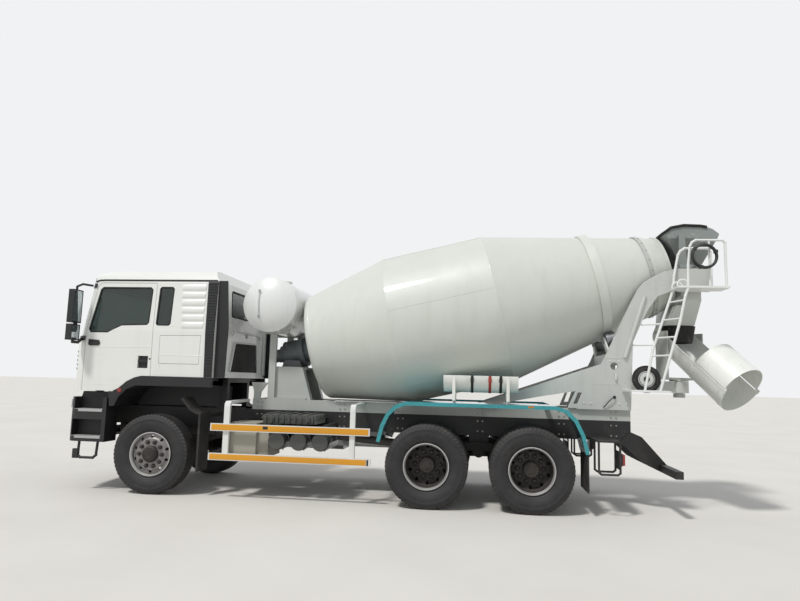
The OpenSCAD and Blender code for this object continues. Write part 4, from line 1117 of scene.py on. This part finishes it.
@dataclass
class CabSide(Assembly):
    """Trim of one side of the cab."""

    side: Side
    louvre_top: float = 2872.0
    louvre_pitch: float = 109.0
    louvre_rear: float = 640.0
    rib_pitch: float = 40.0
    corner: tuple[float, float, float] = (-1100.0, 923.0, 199.0)
    grip_rows: float = 42.0

    def on_wall(self, points: Sequence[tuple[float, float]], out: float = 0.0) -> list[tuple]:
        """Points of the side wall from X and Z."""
        return [(x, self.side.value * (wall_y(z) + out), z) for x, z in points]

    def louvres(self) -> None:
        """Six soft bulges behind the quarter window."""
        shape = Shape(f"louvres_{self.side.word}")
        for i in range(6):
            z = self.louvre_top - i * self.louvre_pitch
            left, right = 262 + (2923 - z) * 0.07, self.louvre_rear
            step = self.side.value
            rows = []
            for dz, out in ((48, 0.2), (42, 3.5), (30, 8.5), (12, 12.5), (-6, 13.0), (-22, 10.0), (-34, 4.5),
                            (-42, 0.2)):
                y = step * (wall_y(z + dz) - 1)
                rows.append([(left + 2, y, z + dz), (left + 12, y + step * (1 + out * 0.7), z + dz),
                             (left + 34, y + step * (1 + out), z + dz), (right - 22, y + step * (1 + out), z + dz),
                             (right - 7, y + step * (1 + out * 0.6), z + dz), (right - 2, y, z + dz)])
            shape.grid(rows)
        shape.done(self.shop, "cab", "cab_white")

    def lines(self) -> None:
        """Panel gaps, pressed creases and the drip rail."""
        word, step = self.side.word, self.side.value
        out = (0, step, 0)
        gaps = Shape(f"panel_gaps_{word}")
        gaps.bead(self.on_wall(((16, 1789), (10, 2183), (613, 2193), (606, 1789))), out, 6, 0.8, True)
        gaps.done(self.shop, "cab", "gap_line")
        press = Shape(f"pressed_creases_{word}")
        press.bead(self.on_wall(((32, 1722), (32, 1908), (650, 1908), (650, 1635))), out, 12, 2.4)
        press.bead(self.on_wall(((-66, 2316), (640, 2316))), out, 9, 1.8)
        press.done(self.shop, "cab", "cab_white")
        door = Shape(f"door_creases_{word}")
        door.bead(self.on_wall(((-1000, 1998), (-129, 2015))), out, 9, 2.2)
        door.bead(self.on_wall(((-1032, 1897), (-817, 1901))), out, 7, 1.6)
        door.bead(self.on_wall(((-1060, 1478), (-560, 1478))), out, 8, 1.8)
        door.done(self.shop, f"{word}_door", "cab_white")
        rail = Shape(f"drip_rail_{word}")
        path = [(-1050, 2952), (-1000, 2975), (-914, 2978), (791, 2980)]
        rail.bead([(x, step * (wall_y(z) + 1), z) for x, z in path], out, 26, 11)
        rail.done(self.shop, "cab", "gloss_black")

    def seals(self) -> None:
        """Rubber frames round the door window and the quarter window."""
        word, step = self.side.word, self.side.value
        door = ((-1068, 2262), (-960, 2838), (-930, 2868), (-195, 2868), (-170, 2842), (-182, 2362),
                (-205, 2338), (-585, 2325), (-790, 2222), (-1050, 2222))
        quarter = ((-62, 2350), (-44, 2332), (122, 2332), (142, 2352), (152, 2856), (134, 2876),
                   (-34, 2876), (-52, 2858))
        for name, body, outline in (("door_seal", f"{word}_door", door), ("quarter_seal", "cab", quarter)):
            shape = Shape(f"{name}_{word}")
            shape.bead(self.on_wall(outline), (0, step, 0), 20, 2.5, True)
            shape.done(self.shop, body, "matt_rubber")

    def handle(self) -> None:
        """Black recess lining, grip and lock of the door."""
        word, step = self.side.word, self.side.value
        shape = Shape(f"door_handle_{word}")
        shape.block((-288, step * 1097, 1725), (-152, step * 1100, 1885), 1)
        rows = []
        for z, out in ((1793, 1102), (1790, 1114), (1796, 1121), (1812, 1123), (1828, 1120), (1832, 1108)):
            rows.append([(-293, step * (out - 8), z), (-280, step * out, z), (-160, step * out, z),
                         (-147, step * (out - 8), z)])
        shape.grid(rows)
        shape.lathe((-118, step * 1119, 1850), (0, step, 0), ((13, 0), (13, 3), (9, 4), (5, 4.4)), 20)
        shape.bead([(-292, step * 1120, 1722), (-292, step * 1120, 1888), (-148, step * 1120, 1888),
                    (-148, step * 1120, 1722)], (0, step, 0), 8, 2, True)
        shape.done(self.shop, f"{word}_door", "black_plastic")

    def strip_ribs(self) -> None:
        """Ribs of the black strip at the rear edge of the cab."""
        word, step = self.side.word, self.side.value
        shape = Shape(f"strip_ribs_{word}")
        for i in range(33):
            z = 1650 + i * self.rib_pitch
            front = 700 - (z - 1612) * 34 / 1359
            shape.bead([(front + 8, step * (wall_y(z) + 13), z), (806, step * (wall_y(z) + 13), z + 6)],
                       (0, step, 0), 13, 6)
        shape.done(self.shop, "cab", "black_plastic")

    def treads(self) -> None:
        """Pale treads of the two entry steps with round grips, and the round lamp over them."""
        word, step = self.side.word, self.side.value
        shape = Shape(f"step_treads_{word}")
        for x0, x1, z in ((-1180, -758, 1123), (-1206, -758, 752)):
            shape.block((x0, step * 985, z + 0.3), (x1, step * 1137, z + 6), 2)
            for i in range(9):
                for k in range(3):
                    x = x0 + 40 + i * (x1 - x0 - 80) / 8
                    shape.lathe((x, step * (1020 + k * self.grip_rows), z + 6), (0, 0, 1),
                                ((12, -0.5), (12, 1.5), (10, 3.5), (6, 3.5), (5, 0.4)), 10)
            shape.block((x0 + 60, step * 1139.5, z - 30), (x1, step * 1147, z + 4), 3)
        shape.done(self.shop, "chassis", "step_steel")
        marker = Shape(f"round_marker_{word}")
        marker.lathe((-530, step * 1129, 1398), (0, step, 0),
                     ((30, 0), (30, 7), (27, 11), (23, 12), (17, 15), (6, 16)), 32)
        marker.done(self.shop, "cab", "red_lens")

    def corner_slots(self) -> None:
        """Air slots in the rounded front corner, and the black foot plate under the mirrors."""
        word, step = self.side.word, self.side.value
        shape = Shape(f"corner_slots_{word}")
        x, y, radius = self.corner
        for i in range(5):
            path = []
            for k in range(5):
                a = math.radians(44 + k * 6)
                path.append((x - radius * math.sin(a) - i * 0.4, step * (y + radius * math.cos(a)),
                             1926 - i * 61 + k * 6))
            shape.tube(path, 8, 8)
        shape.done(self.shop, "cab", "gloss_black")
        plate = Shape(f"mirror_plate_{word}")
        outline = ((-1062, 2112), (-1062, 2034), (-1030, 2020), (-900, 2028), (-884, 2062), (-905, 2104))
        plate.prism(self.on_wall(outline, 0.2), (0, step * 12, 0), 3)
        plate.done(self.shop, f"{word}_door", "gloss_black")

    def mirror_faces(self) -> None:
        """Glass of the two mirrors, in the faces that look back, with its rims."""
        word, step = self.side.word, self.side.value
        shape = Shape(f"mirror_glass_{word}")
        for y0, y1, z0, z1 in ((1216, 1384, 2348, 2782), (1226, 1384, 2100, 2295)):
            shape.block((-1161, step * y0, z0), (-1157, step * y1, z1), 1.5)
        shape.done(self.shop, "cab", "mirror_face")
        shell = Shape(f"mirror_rims_{word}")
        for y0, y1, z0, z1 in ((1206, 1394, 2336, 2794), (1216, 1394, 2090, 2305)):
            shell.bead([(-1160, step * y0, z0), (-1160, step * y0, z1), (-1160, step * y1, z1),
                        (-1160, step * y1, z0)], (1, 0, 0), 12, 6, True)
        shell.done(self.shop, "cab", "gloss_black")

    def build(self) -> None:
        """Builds the trim of the side."""
        self.louvres()
        self.lines()
        self.seals()
        self.handle()
        self.strip_ribs()
        self.treads()
        self.mirror_faces()
        self.corner_slots()


@dataclass
class Wipers(Assembly):
    """Two wipers, parked at the foot of the screen."""

    blade_z: float = 2245.0

    def build(self) -> None:
        """Builds both wipers in one piece."""
        shape = Shape("wipers")
        for foot, left, right in ((-120, -860, -180), (760, 60, 740)):
            z = self.blade_z
            blade = [(screen_x(y, z, -9), y, z + 8 * math.sin((y - left) / 680 * math.pi))
                     for y in (left, left + 170, left + 340, left + 510, right)]
            shape.tube(blade, 7, 8)
            middle = (left + right) / 2
            shape.tube([(screen_x(foot, 2190, -6), foot, 2190), (screen_x(foot, 2200, -26), foot, 2202),
                        (screen_x(middle, 2240, -26), middle, 2244)], 8, 8)
            shape.disc((screen_x(foot, 2188, 4), foot, 2188), (-1, 0, 0), 20, 24)
        shape.done(self.shop, "cab", "gloss_black")


@dataclass
class Seats(Assembly):
    """Two padded seats with piping, which stand for the plain ones."""

    places: tuple[float, float] = (-790.0, 290.0)
    width: float = 500.0
    cell: float = 0.014
    shrink: tuple[float, float] = (0.94, 0.86)

    def pad(self, name: str, outline: Sequence[tuple[float, float]], y: float, width: float) -> bpy.types.Object:
        """Inflated cushion from an outline in X and Z.

        Args:
            name: name of the piece.
            outline: corners of its side.
            y: where it starts across the truck.
            width: width across the truck.

        Returns:
            The cushion, without a finish.
        """
        middle = [sum(c) / len(outline) for c in zip(*outline)]
        shrunk = [[m + (c - m) * share for c, m, share in zip(p, middle, self.shrink)] for p in outline]
        shape = Shape(name)
        shape.prism([(x, y + 10, z) for x, z in shrunk], (0, width - 20, 0), 12)
        bmesh.ops.recalc_face_normals(shape.mesh, faces=shape.mesh.faces)
        data = bpy.data.meshes.new(name)
        shape.mesh.to_mesh(data)
        shape.mesh.free()
        piece = stand(name, data)
        remesh = piece.modifiers.new("remesh", "REMESH")
        remesh.mode = "VOXEL"
        remesh.voxel_size = self.cell
        self.bake(piece)
        self.inflate(piece)
        self.bake(piece)
        return piece

    @staticmethod
    def bake(piece: bpy.types.Object) -> None:
        """Applies every modifier of a piece to its mesh.

        Args:
            piece: the piece.
        """
        graph = bpy.context.evaluated_depsgraph_get()
        graph.update()
        mesh = bpy.data.meshes.new_from_object(piece.evaluated_get(graph))
        piece.modifiers.clear()
        piece.data = mesh

    @staticmethod
    def inflate(piece: bpy.types.Object, pressure: float = 4.0, frames: int = 12, reach: float = 0.012) -> None:
        """Swells a cushion with the cloth simulation.

        Args:
            piece: the cushion.
            pressure: pressure inside it.
            frames: length of the simulation.
            reach: the furthest that a point may move, in metres.
        """
        before = [v.co.copy() for v in piece.data.vertices]
        cloth = piece.modifiers.new("cloth", "CLOTH")
        cloth.settings.use_pressure = True
        cloth.settings.uniform_pressure_force = pressure
        cloth.settings.effector_weights.gravity = 0.0
        cloth.settings.quality = 4
        scene = bpy.context.scene
        for step in range(1, frames + 1):
            scene.frame_set(step)
        graph = bpy.context.evaluated_depsgraph_get()
        mesh = bpy.data.meshes.new_from_object(piece.evaluated_get(graph))
        piece.modifiers.clear()
        piece.data = mesh
        scene.frame_set(1)
        for v, old in zip(mesh.vertices, before):
            move = v.co - old
            if move.length > reach:
                v.co = old + move.normalized() * reach

    def build(self) -> None:
        """Builds both seats."""
        cushion = ((-420, 1901), (120, 1901), (150, 1960), (-400, 2008))
        back = ((62, 1962), (176, 1962), (288, 2618), (192, 2628))
        made = []
        for number, y in enumerate(self.places):
            for part, outline, start, width in (("cushion", cushion, y, self.width),
                                                ("back", back, y + 20, self.width - 40)):
                piece = self.pad(f"seat_{part}_{number}", outline, start, width)
                piece.data.materials.append(self.shop.materials["seat_cloth"])
                for polygon in piece.data.polygons:
                    polygon.use_smooth = True
                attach(piece, "cab")
                LOG.info("built %s on cab: %d faces", piece.name, len(piece.data.polygons))
                made.append(piece)
            seams = Shape(f"seat_piping_{number}")
            for x in (-290, -150, -10):
                z = 2001 - (x + 400) * 0.086
                seams.tube([(x, y + 26, z - 9), (x, y + 60, z), (x, y + self.width - 60, z),
                            (x, y + self.width - 26, z - 9)], 4, 6)
            seams.done(self.shop, "cab", "trim_grey")
        for piece in made:
            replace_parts(piece, "seats")


@dataclass
class RearWall(Assembly):
    """What the rear wall of the cab carries."""

    wall_x: float = 812.0
    slat_pitch: float = 42.0

    def build(self) -> None:
        """Builds the window rubber, the framed opening with its ledge, and the rear edges; the opening holds a black
        sheet with slats, painted shade for the shaded gear behind the cab.
        """
        x = self.wall_x
        rubber = Shape("rear_window_rubber")
        rubber.bead([(x, y, z) for y, z in ((-500, 2525), (500, 2525), (522, 2545), (560, 2872), (540, 2895),
                                            (-540, 2895), (-560, 2872), (-522, 2545))], (1, 0, 0), 26, 6, True)
        rubber.done(self.shop, "cab", "matt_rubber")
        # Black sheet with slats: painted shade standing in for the dark gear seen through the opening.
        panel = Shape("rear_wall_opening")
        panel.prism([(x + 0.5, y, z) for y, z in ((-363, 2137), (550, 2160), (640, 1700), (-520, 1700))], (5, 0, 0))
        for i in range(10):
            z = 1725 + i * self.slat_pitch
            panel.bead([(x + 5, -480 + i * 11, z), (x + 5, 610 - i * 8, z)], (1, 0, 0), 16, 4)
        panel.done(self.shop, "cab", "matt_rubber")
        frame_ring = Shape("rear_wall_frame")
        frame_ring.tube([(x + 12, y, z) for y, z in ((-520, 1705), (-370, 2130), (-356, 2141), (540, 2164),
                                                     (556, 2154), (640, 1705))], 14, 10)
        frame_ring.block((x + 0.5, -462, 2300), (x + 38, 722, 2326), 6)
        for y in (-462, 130, 722):
            frame_ring.block((x + 0.5, y - 12, 2240), (x + 22, y + 12, 2302), 3)
        frame_ring.lathe((x, -324, 2467), (1, 0, 0), ((16, 0), (16, 10), (24, 14), (24, 26), (18, 32), (6, 33)), 24)
        frame_ring.done(self.shop, "cab", "ladder_white")
        edge = Shape("rear_wall_edges")
        for step in (-1, 1):
            edge.block((x + 0.5, step * 880, 1660), (x + 26, step * 1000, 2900), 8)
        edge.done(self.shop, "cab", "cab_white")


@dataclass
class Chassis(Assembly):
    """Painted bands, straps, lids and bolts along the frame."""

    tanks: tuple[float, float, float] = (1795.0, 2095.0, 2395.0)
    spare: tuple[float, float] = (-1000.0, 1727.0)
    lid_y: float = -1072.5
    lid_depth: float = 585.0
    bolt_places: tuple[float, ...] = (1260, 1330, 2500, 2570, 3350, 3420, 4480, 4550, 5600, 5670, 6300, 6370)

    def bands(self) -> None:
        """Orange fields of the guard rails, inside their pale borders."""
        for side in Side:
            near, far, plate = (side.value * y for y in (1240.2, 1243.0, 1244.5))
            shape = Shape(f"guard_bands_{side.word}")
            shape.block((905, near, 912), (3063, far, 988), 1.2)
            shape.block((898, near, 524), (3040, far, 596), 1.2)
            shape.done(self.shop, "chassis", "guard_orange")
            ends = Shape(f"guard_end_plates_{side.word}")
            ends.block((3048, near, 522), (3072, plate, 598), 2)
            ends.block((1626, near, 940), (1694, plate, 980), 2)
            ends.done(self.shop, "chassis", "black_plastic")

    def tank_fittings(self) -> None:
        """Straps and drain valves of the air tanks."""
        shape = Shape("air_tank_straps")
        for x in self.tanks:
            for y in (-1000, -700):
                shape.lathe((x, y, 790), (0, 1, 0), ((124, 0), (128, 1), (128, 39), (124, 40)), 48, closed=True)
            shape.lathe((x, -850, 667), (0, 0, -1), ((17, 0), (17, 12), (9, 14), (9, 26), (5, 27)), 12)
        shape.done(self.shop, "chassis", "bare_steel")

    def lid(self) -> None:
        """Dark ribbed cover of the battery box with its clamps."""
        shape = Shape("battery_cover")
        y, back = self.lid_y, self.lid_y + self.lid_depth
        shape.prism([(1537, y, 1078), (2323, y, 1078), (2292, y, 1132.5), (1568, y, 1132.5)],
                    (0, self.lid_depth, 0), 3)
        for i in range(5):
            shape.block((1607 + i * 140, y, 1130), (1643 + i * 140, back, 1147.5), 5)
        shape.block((1562, -1064, 1014), (2298, -1060.4, 1078), 1.5)
        for i in range(9):
            shape.block((1590 + i * 82, -1084, 1018), (1618 + i * 82, -1060.4, 1136), 5)
        for x in (1680, 2180):
            shape.block((x, -1082, 1040), (x + 44, -1071, 1112), 3)
            shape.tube([(x + 22, -1086, 1050), (x + 22, -1090, 1080), (x + 22, -1082, 1104)], 4, 6)
        shape.done(self.shop, "chassis", "lid_grey")

    def pipe(self) -> None:
        """Pale pipe along the top edge of the subframe, with its clips."""
        shape = Shape("air_pipe")
        shape.tube([(2420, -468, 1310), (2450, -474, 1322), (3300, -474, 1322), (3330, -468, 1310)], 10, 10)
        for x in (2520, 2780, 3040, 3240):
            shape.block((x, -486, 1309), (x + 26, -462, 1335), 3)
        shape.done(self.shop, "chassis", "ladder_white")

    def chute_straps(self) -> None:
        """Red and black straps round the spare half-round chute."""
        y, z = self.spare
        for name, finish, slot, places in (("chute_strap_red", "strap_red", "lamp_red", (4620,)),
                                           ("chute_straps_black", "matt_rubber", "black_rubber", (4390, 4760))):
            shape = Shape(name)
            for x in places:
                rows = []
                for k in range(25):
                    a = math.pi * (1 + k / 24)
                    rows.append([(x + w, y + r * math.cos(a), z + r * math.sin(a))
                                 for r, w in ((219, 0), (226, 0), (226, 34), (219, 34))])
                shape.grid(rows, closed_rows=True, capped=True)
                shape.block((x - 4, -1232, 1640), (x + 38, -1218, 1700), 4)
            shape.done(self.shop, "chassis", finish)

    def caps(self) -> None:
        """Fuel cap and rows of frame bolts."""
        cap = Shape("fuel_cap")
        cap.lathe((1400, 900, 1119), (0, 0, 1), ((58, 0), (58, 18), (52, 24), (20, 26), (16, 30), (6, 30)), 24)
        cap.done(self.shop, "chassis", "black_plastic")
        bolts = Shape("frame_bolts")
        for step in (-1, 1):
            for x in self.bolt_places:
                for z, size in ((1205, 10), (1275, 10), (960, 9), (1100, 9)):
                    bolts.bolt((x, step * RAIL_Y, z), (0, step, 0), size)
        bolts.done(self.shop, "chassis", "bolt_zinc")

    def build(self) -> None:
        """Builds the chassis details."""
        self.bands()
        self.tank_fittings()
        self.lid()
        self.pipe()
        self.chute_straps()
        self.caps()


@dataclass
class Lighting(Assembly):
    """Head lamps, rear lamps and side markers, which stand for the plain blocks."""

    bowl: tuple[float, float] = (-1300.0, 1190.0)
    head_y: tuple[float, float] = (702.0, 958.0)
    head_z: tuple[float, float] = (1132.0, 1248.0)

    def build(self) -> None:
        """Builds every lamp."""
        (x, z), (y0, y1), (z0, z1) = self.bowl, self.head_y, self.head_z
        made = []
        for side in Side:
            word, step = side.word, side.value
            bowl = Shape(f"head_lamp_bowl_{word}")
            bowl.block((x, step * y0, z0), (x + 9, step * y1, z1), 3)
            for y in (766, 892):
                foot = (x, step * y, z)
                bowl.lathe(foot, (-1, 0, 0), ((20, 0), (34, 4), (48, 20), (53, 36), (56, 36), (56, 0)), 28)
                bowl.lathe(foot, (-1, 0, 0), ((12, 0), (12, 22), (8, 27), (3, 28)), 16)
            made.append(bowl.done(self.shop, "chassis", "reflector"))
            cover = Shape(f"head_lamp_lens_{word}")
            cover.block((x - 50, step * y0, z0), (x - 43, step * y1, z1), 3)
            made.append(cover.done(self.shop, "chassis", "clear_lens"))
            house = Shape(f"rear_lamp_housing_{word}")
            house.block((6240, step * 930, 640), (6274, step * 1170, 820), 6)
            house.block((6274, step * 930, 640), (6296, step * 1170, 790), 5)
            made.append(house.done(self.shop, "chassis", "black_plastic"))
            for name, finish, near, far in (("stop", "red_lens", 936, 1008), ("turn", "amber_lens", 1012, 1086),
                                            ("tail", "red_lens", 1090, 1164)):
                lens = Shape(f"rear_lamp_{name}_{word}")
                lens.block((6294, step * near, 648), (6328, step * far, 782), 9)
                made.append(lens.done(self.shop, "chassis", finish))
            marker = Shape(f"side_marker_{word}")
            marker.block((5122, step * 1246, 1331), (5198, step * 1251.5, 1355), 2)
            made.append(marker.done(self.shop, "chassis", "amber_lens"))
        for piece in made:
            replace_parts(piece, "lamps")


@dataclass
class Mixer(Assembly):
    """Seams, bolts and fittings of drum, tank and drive."""

    tank_x: float = 1455.0
    tank_z: float = 2690.0
    gauge_x: float = 1330.0
    flange_u: float = 4915.0
    flange_radius: float = 604.0

    def drum(self) -> None:
        """Weld beads round the drum and the bolts of its head."""
        seams = Shape("drum_seams")
        for u, r in ((1250, 1104), (2740, 1105), (40, 802)):
            foot = drum_spot(u, 0, 0)
            seams.lathe(foot, DRUM_AXIS, ((r - 4, -11), (r + 1.5, -7), (r + 3, 0), (r + 1.5, 7), (r - 4, 11)),
                        128, closed=True)
        for a in turns(6, 0.35):
            path = [drum_spot(u, 1104.5 + (u - 1250) * 0.00067, a) for u in (1262, 1700, 2200, 2728)]
            seams.tube(path, 2.0, 6)
        seams.done(self.shop, "mixing_drum", "drum_white")
        hoops = Shape("drum_hoops")
        hoops.lathe(drum_spot(4880, 0, 0), DRUM_AXIS, ((600, 0), (612, 1), (612, 5), (601, 60), (598, 60)), 96,
                    closed=True)
        hoops.done(self.shop, "mixing_drum", "mixer_grey")
        bolts = Shape("drum_head_bolts")
        for a in turns(18):
            bolts.bolt(drum_spot(-160, 165, a), tuple(-c for c in DRUM_AXIS), 12)
        u, r = self.flange_u, self.flange_radius
        for a in turns(24):
            bolts.bolt(drum_spot(u, r - 1, a), Vector(drum_spot(u, r, a)) - Vector(drum_spot(u, 0, a)), 9)
        bolts.done(self.shop, "mixing_drum", "bolt_zinc")

    def tank(self) -> None:
        """Straps, level gauge and filler cap of the water tank."""
        straps = Shape("tank_straps")
        for y, low, high, width in ((-455, 398, 405, 60), (395, 398, 405, 60), (-705, 397, 403, 10),
                                    (695, 397, 403, 10)):
            straps.lathe((self.tank_x, y, self.tank_z), (0, 1, 0),
                         ((low, 0), (high, 2), (high, width - 2), (low, width)), 72, closed=True)
        straps.done(self.shop, "chassis", "tank_white")
        gauge = Shape("tank_gauge")
        x = self.gauge_x
        gauge.tube([(x, -835, 2880), (x, -842, 2700), (x, -835, 2500)], 9, 10)
        for z in (2880, 2500):
            gauge.tube([(x, -770, z), (x, -835, z)], 14, 10)
            gauge.lathe((x, -833, z), (0, -1, 0), ((17, 0), (17, 10), (12, 13), (4, 14)), 12)
        gauge.done(self.shop, "chassis", "clear_lens")
        cap = Shape("tank_filler")
        cap.lathe((self.tank_x, 0, 3139), (0, 0, 1), ((104, -30), (104, -6), (98, 0), (60, 6), (20, 7), (6, 7)), 32)
        cap.done(self.shop, "chassis", "tank_white")

    def drive(self) -> None:
        """Bolts, ribs and motor of the drum's gearbox."""
        back = tuple(-c for c in DRUM_AXIS)
        shape = Shape("gearbox_ribs")
        for u in (-540, -500, -460, -420, -380):
            shape.lathe(drum_spot(u, 0, 0), DRUM_AXIS, ((188, -5), (198, -3), (198, 3), (188, 5)), 48, closed=True)
        for a in turns(20):
            shape.bolt(drum_spot(-300, 228, a), back, 9)
        shape.lathe(drum_spot(-620, 0, 0), back, ((104, 0), (104, 60), (92, 74), (92, 120), (70, 132), (24, 134)), 32)
        shape.done(self.shop, "chassis", "gearbox_blue_grey")

    def build(self) -> None:
        """Builds the mixer's details."""
        self.drum()
        self.tank()
        self.drive()


@dataclass
class Discharge(Assembly):
    """Rims, seams and small fittings of hopper, frame and chute."""

    hose_disc: tuple[float, float] = (6745.0, 1742.0)
    coil: tuple[float, float] = (7371.0, 3337.0)
    trough: float = 327.5
    grip_pitch: float = 47.0

    def hopper(self) -> None:
        """Rubber rim of the hopper."""
        rim = Shape("hopper_rim")
        top = ((7600, 3858), (7520, 3873), (7300, 3882), (7132, 3850), (7046, 3786))
        path = [(x, -566, z) for x, z in top] + [(7030, -520, 3778), (7030, 520, 3778)]
        path += [(x, 566, z) for x, z in reversed(top)]
        rim.tube(path, 20, 10)
        rim.done(self.shop, "chassis", "matt_rubber")

    def frame_details(self) -> None:
        """Weld seams, bolts, a round capsule and the control lever on the rear frame."""
        shape = Shape("frame_seams")
        for side in Side:
            for z, foot, end, width, rise in ((2018, 6205, 6566, 9, 3), (1660, 6045, 6562, 7, 2)):
                shape.bead([rear_panel(side, x, z, 0) for x in (foot, end)], (0, side.value, 0), width, rise)
        shape.done(self.shop, "chassis", "pale_grey")
        small = Shape("frame_fittings")
        small.tube([rear_panel(Side.LEFT, 6352, z, 16) for z in (1800, 1730)], 14, 12)
        for x, z in ((6270, 1980), (6390, 1980), (5930, 1400), (6020, 1400), (6400, 1400), (6500, 1400)):
            small.bolt(rear_panel(Side.LEFT, x, z, 0), (0, -1, 0), 10)
        small.done(self.shop, "chassis", "ladder_white")
        lever = Shape("control_lever")
        bends = ((6338, 1488, -2), (6335, 1488, 26), (6300, 1470, 34), (6250, 1420, 30), (6215, 1370, 22),
                 (6190, 1345, 10))
        lever.tube([rear_panel(Side.LEFT, *at) for at in bends], 7, 8)
        lever.lathe(rear_panel(Side.LEFT, *bends[0]), (0, -1, 0),
                    ((22, 0), (22, 6), (14, 9), (13, 22), (6, 24)), 16)
        lever.done(self.shop, "chassis", "black_plastic")

    def chute_details(self) -> None:
        """Rolled edges and seams of the chute."""
        shape = Shape("chute_edges")
        for step in (-1, 1):
            shape.tube([chute_spot(x, step * 329, -7) for x in (-122, 300, 700, 1225)], 6.5, 8)
        for x in (60, 640, 1180):
            path = []
            for k in range(17):
                a = math.pi * (1 + k / 16)
                path.append(chute_spot(x, self.trough * math.cos(a), self.trough * math.sin(a)))
            shape.tube(path, 4, 6)
        shape.done(self.shop, "main_chute", "chute_white")

    def hose(self) -> None:
        """Turns of the wash hose in its disc, and the cover of the disc."""
        shape = Shape("hose_turns")
        x, z = self.hose_disc
        for k in range(4):
            shape.ring((x, -607, z), (0, 1, 0), 70 + k * 24, 10, 40)
        shape.done(self.shop, "chassis", "hose_black")
        cover = Shape("hose_cover")
        cover.lathe((x, -606, z), (0, -1, 0), ((108, 0), (108, 5), (100, 9), (60, 12), (20, 13), (6, 13)), 48)
        cover.done(self.shop, "chassis", "pale_grey")

    def loops(self) -> None:
        """Two hand loops at the top of the ladder and a hose coil on the hand rail."""
        shape = Shape("hand_loops")
        for y in (-800, -1034):
            shape.tube([(7052, y, 2952), (7056, y, 2998), (7078, y, 3030), (7112, y, 3042), (7150, y, 3036),
                        (7176, y, 3008), (7184, y, 2954)], 12, 10)
        shape.done(self.shop, "chassis", "ladder_white")
        coil = Shape("hose_coil")
        for k, r in enumerate((150, 158, 146)):
            coil.ring((self.coil[0], -1096 - k * 25, self.coil[1]), (0, 1, 0), r, 12.5, 48)
        for a in (0.4, 2.5, 4.4):
            x, z = self.coil[0] + 151 * math.cos(a), self.coil[1] + 151 * math.sin(a)
            coil.block((x - 18, -1162, z - 20), (x + 18, -1080, z + 20), 6)
        coil.done(self.shop, "chassis", "hose_black")

    def rungs(self) -> None:
        """Open tread pattern on the platform and the lower step."""
        shape = Shape("step_grips")
        for i in range(13):
            for k in range(5):
                shape.lathe((7080 + i * self.grip_pitch, -1050 + k * 62, 2955), (0, 0, 1),
                            ((15, -0.5), (15, 1.5), (12, 4), (8, 4), (6, 0.5)), 10)
        for i in range(10):
            for k in range(8):
                shape.lathe((6470 + i * self.grip_pitch, -1050 + k * 56, 1592), (0, 0, 1),
                            ((14, -0.5), (14, 1.5), (11, 4), (8, 4), (6, 0.5)), 8)
        shape.done(self.shop, "chassis", "ladder_white")

    def build(self) -> None:
        """Builds the discharge end's details."""
        self.hopper()
        self.frame_details()
        self.chute_details()
        self.hose()
        self.loops()
        self.rungs()


def note_size(store: dict[str, list[list[float]]], key: str) -> None:
    """Keeps the present bounds under a key."""
    low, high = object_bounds()
    store[key] = [list(map(float, low)), list(map(float, high))]


def main() -> None:
    """Builds the truck's looks in order."""
    logging.basicConfig(level=logging.INFO, format="%(name)s: %(message)s")
    sizes: dict[str, list[list[float]]] = {}
    note_size(sizes, "cad")
    Studio().build()
    shop = Workshop()
    shop.dress_all()
    sides = [CabSide(shop, side) for side in Side]
    for assembly in (Wheels(shop), *sides, Wipers(shop), Seats(shop), RearWall(shop), Chassis(shop),
                     Lighting(shop), Mixer(shop), Discharge(shop)):
        assembly.build()
    note_size(sizes, "visual")


if __name__ == "__main__":
    main()
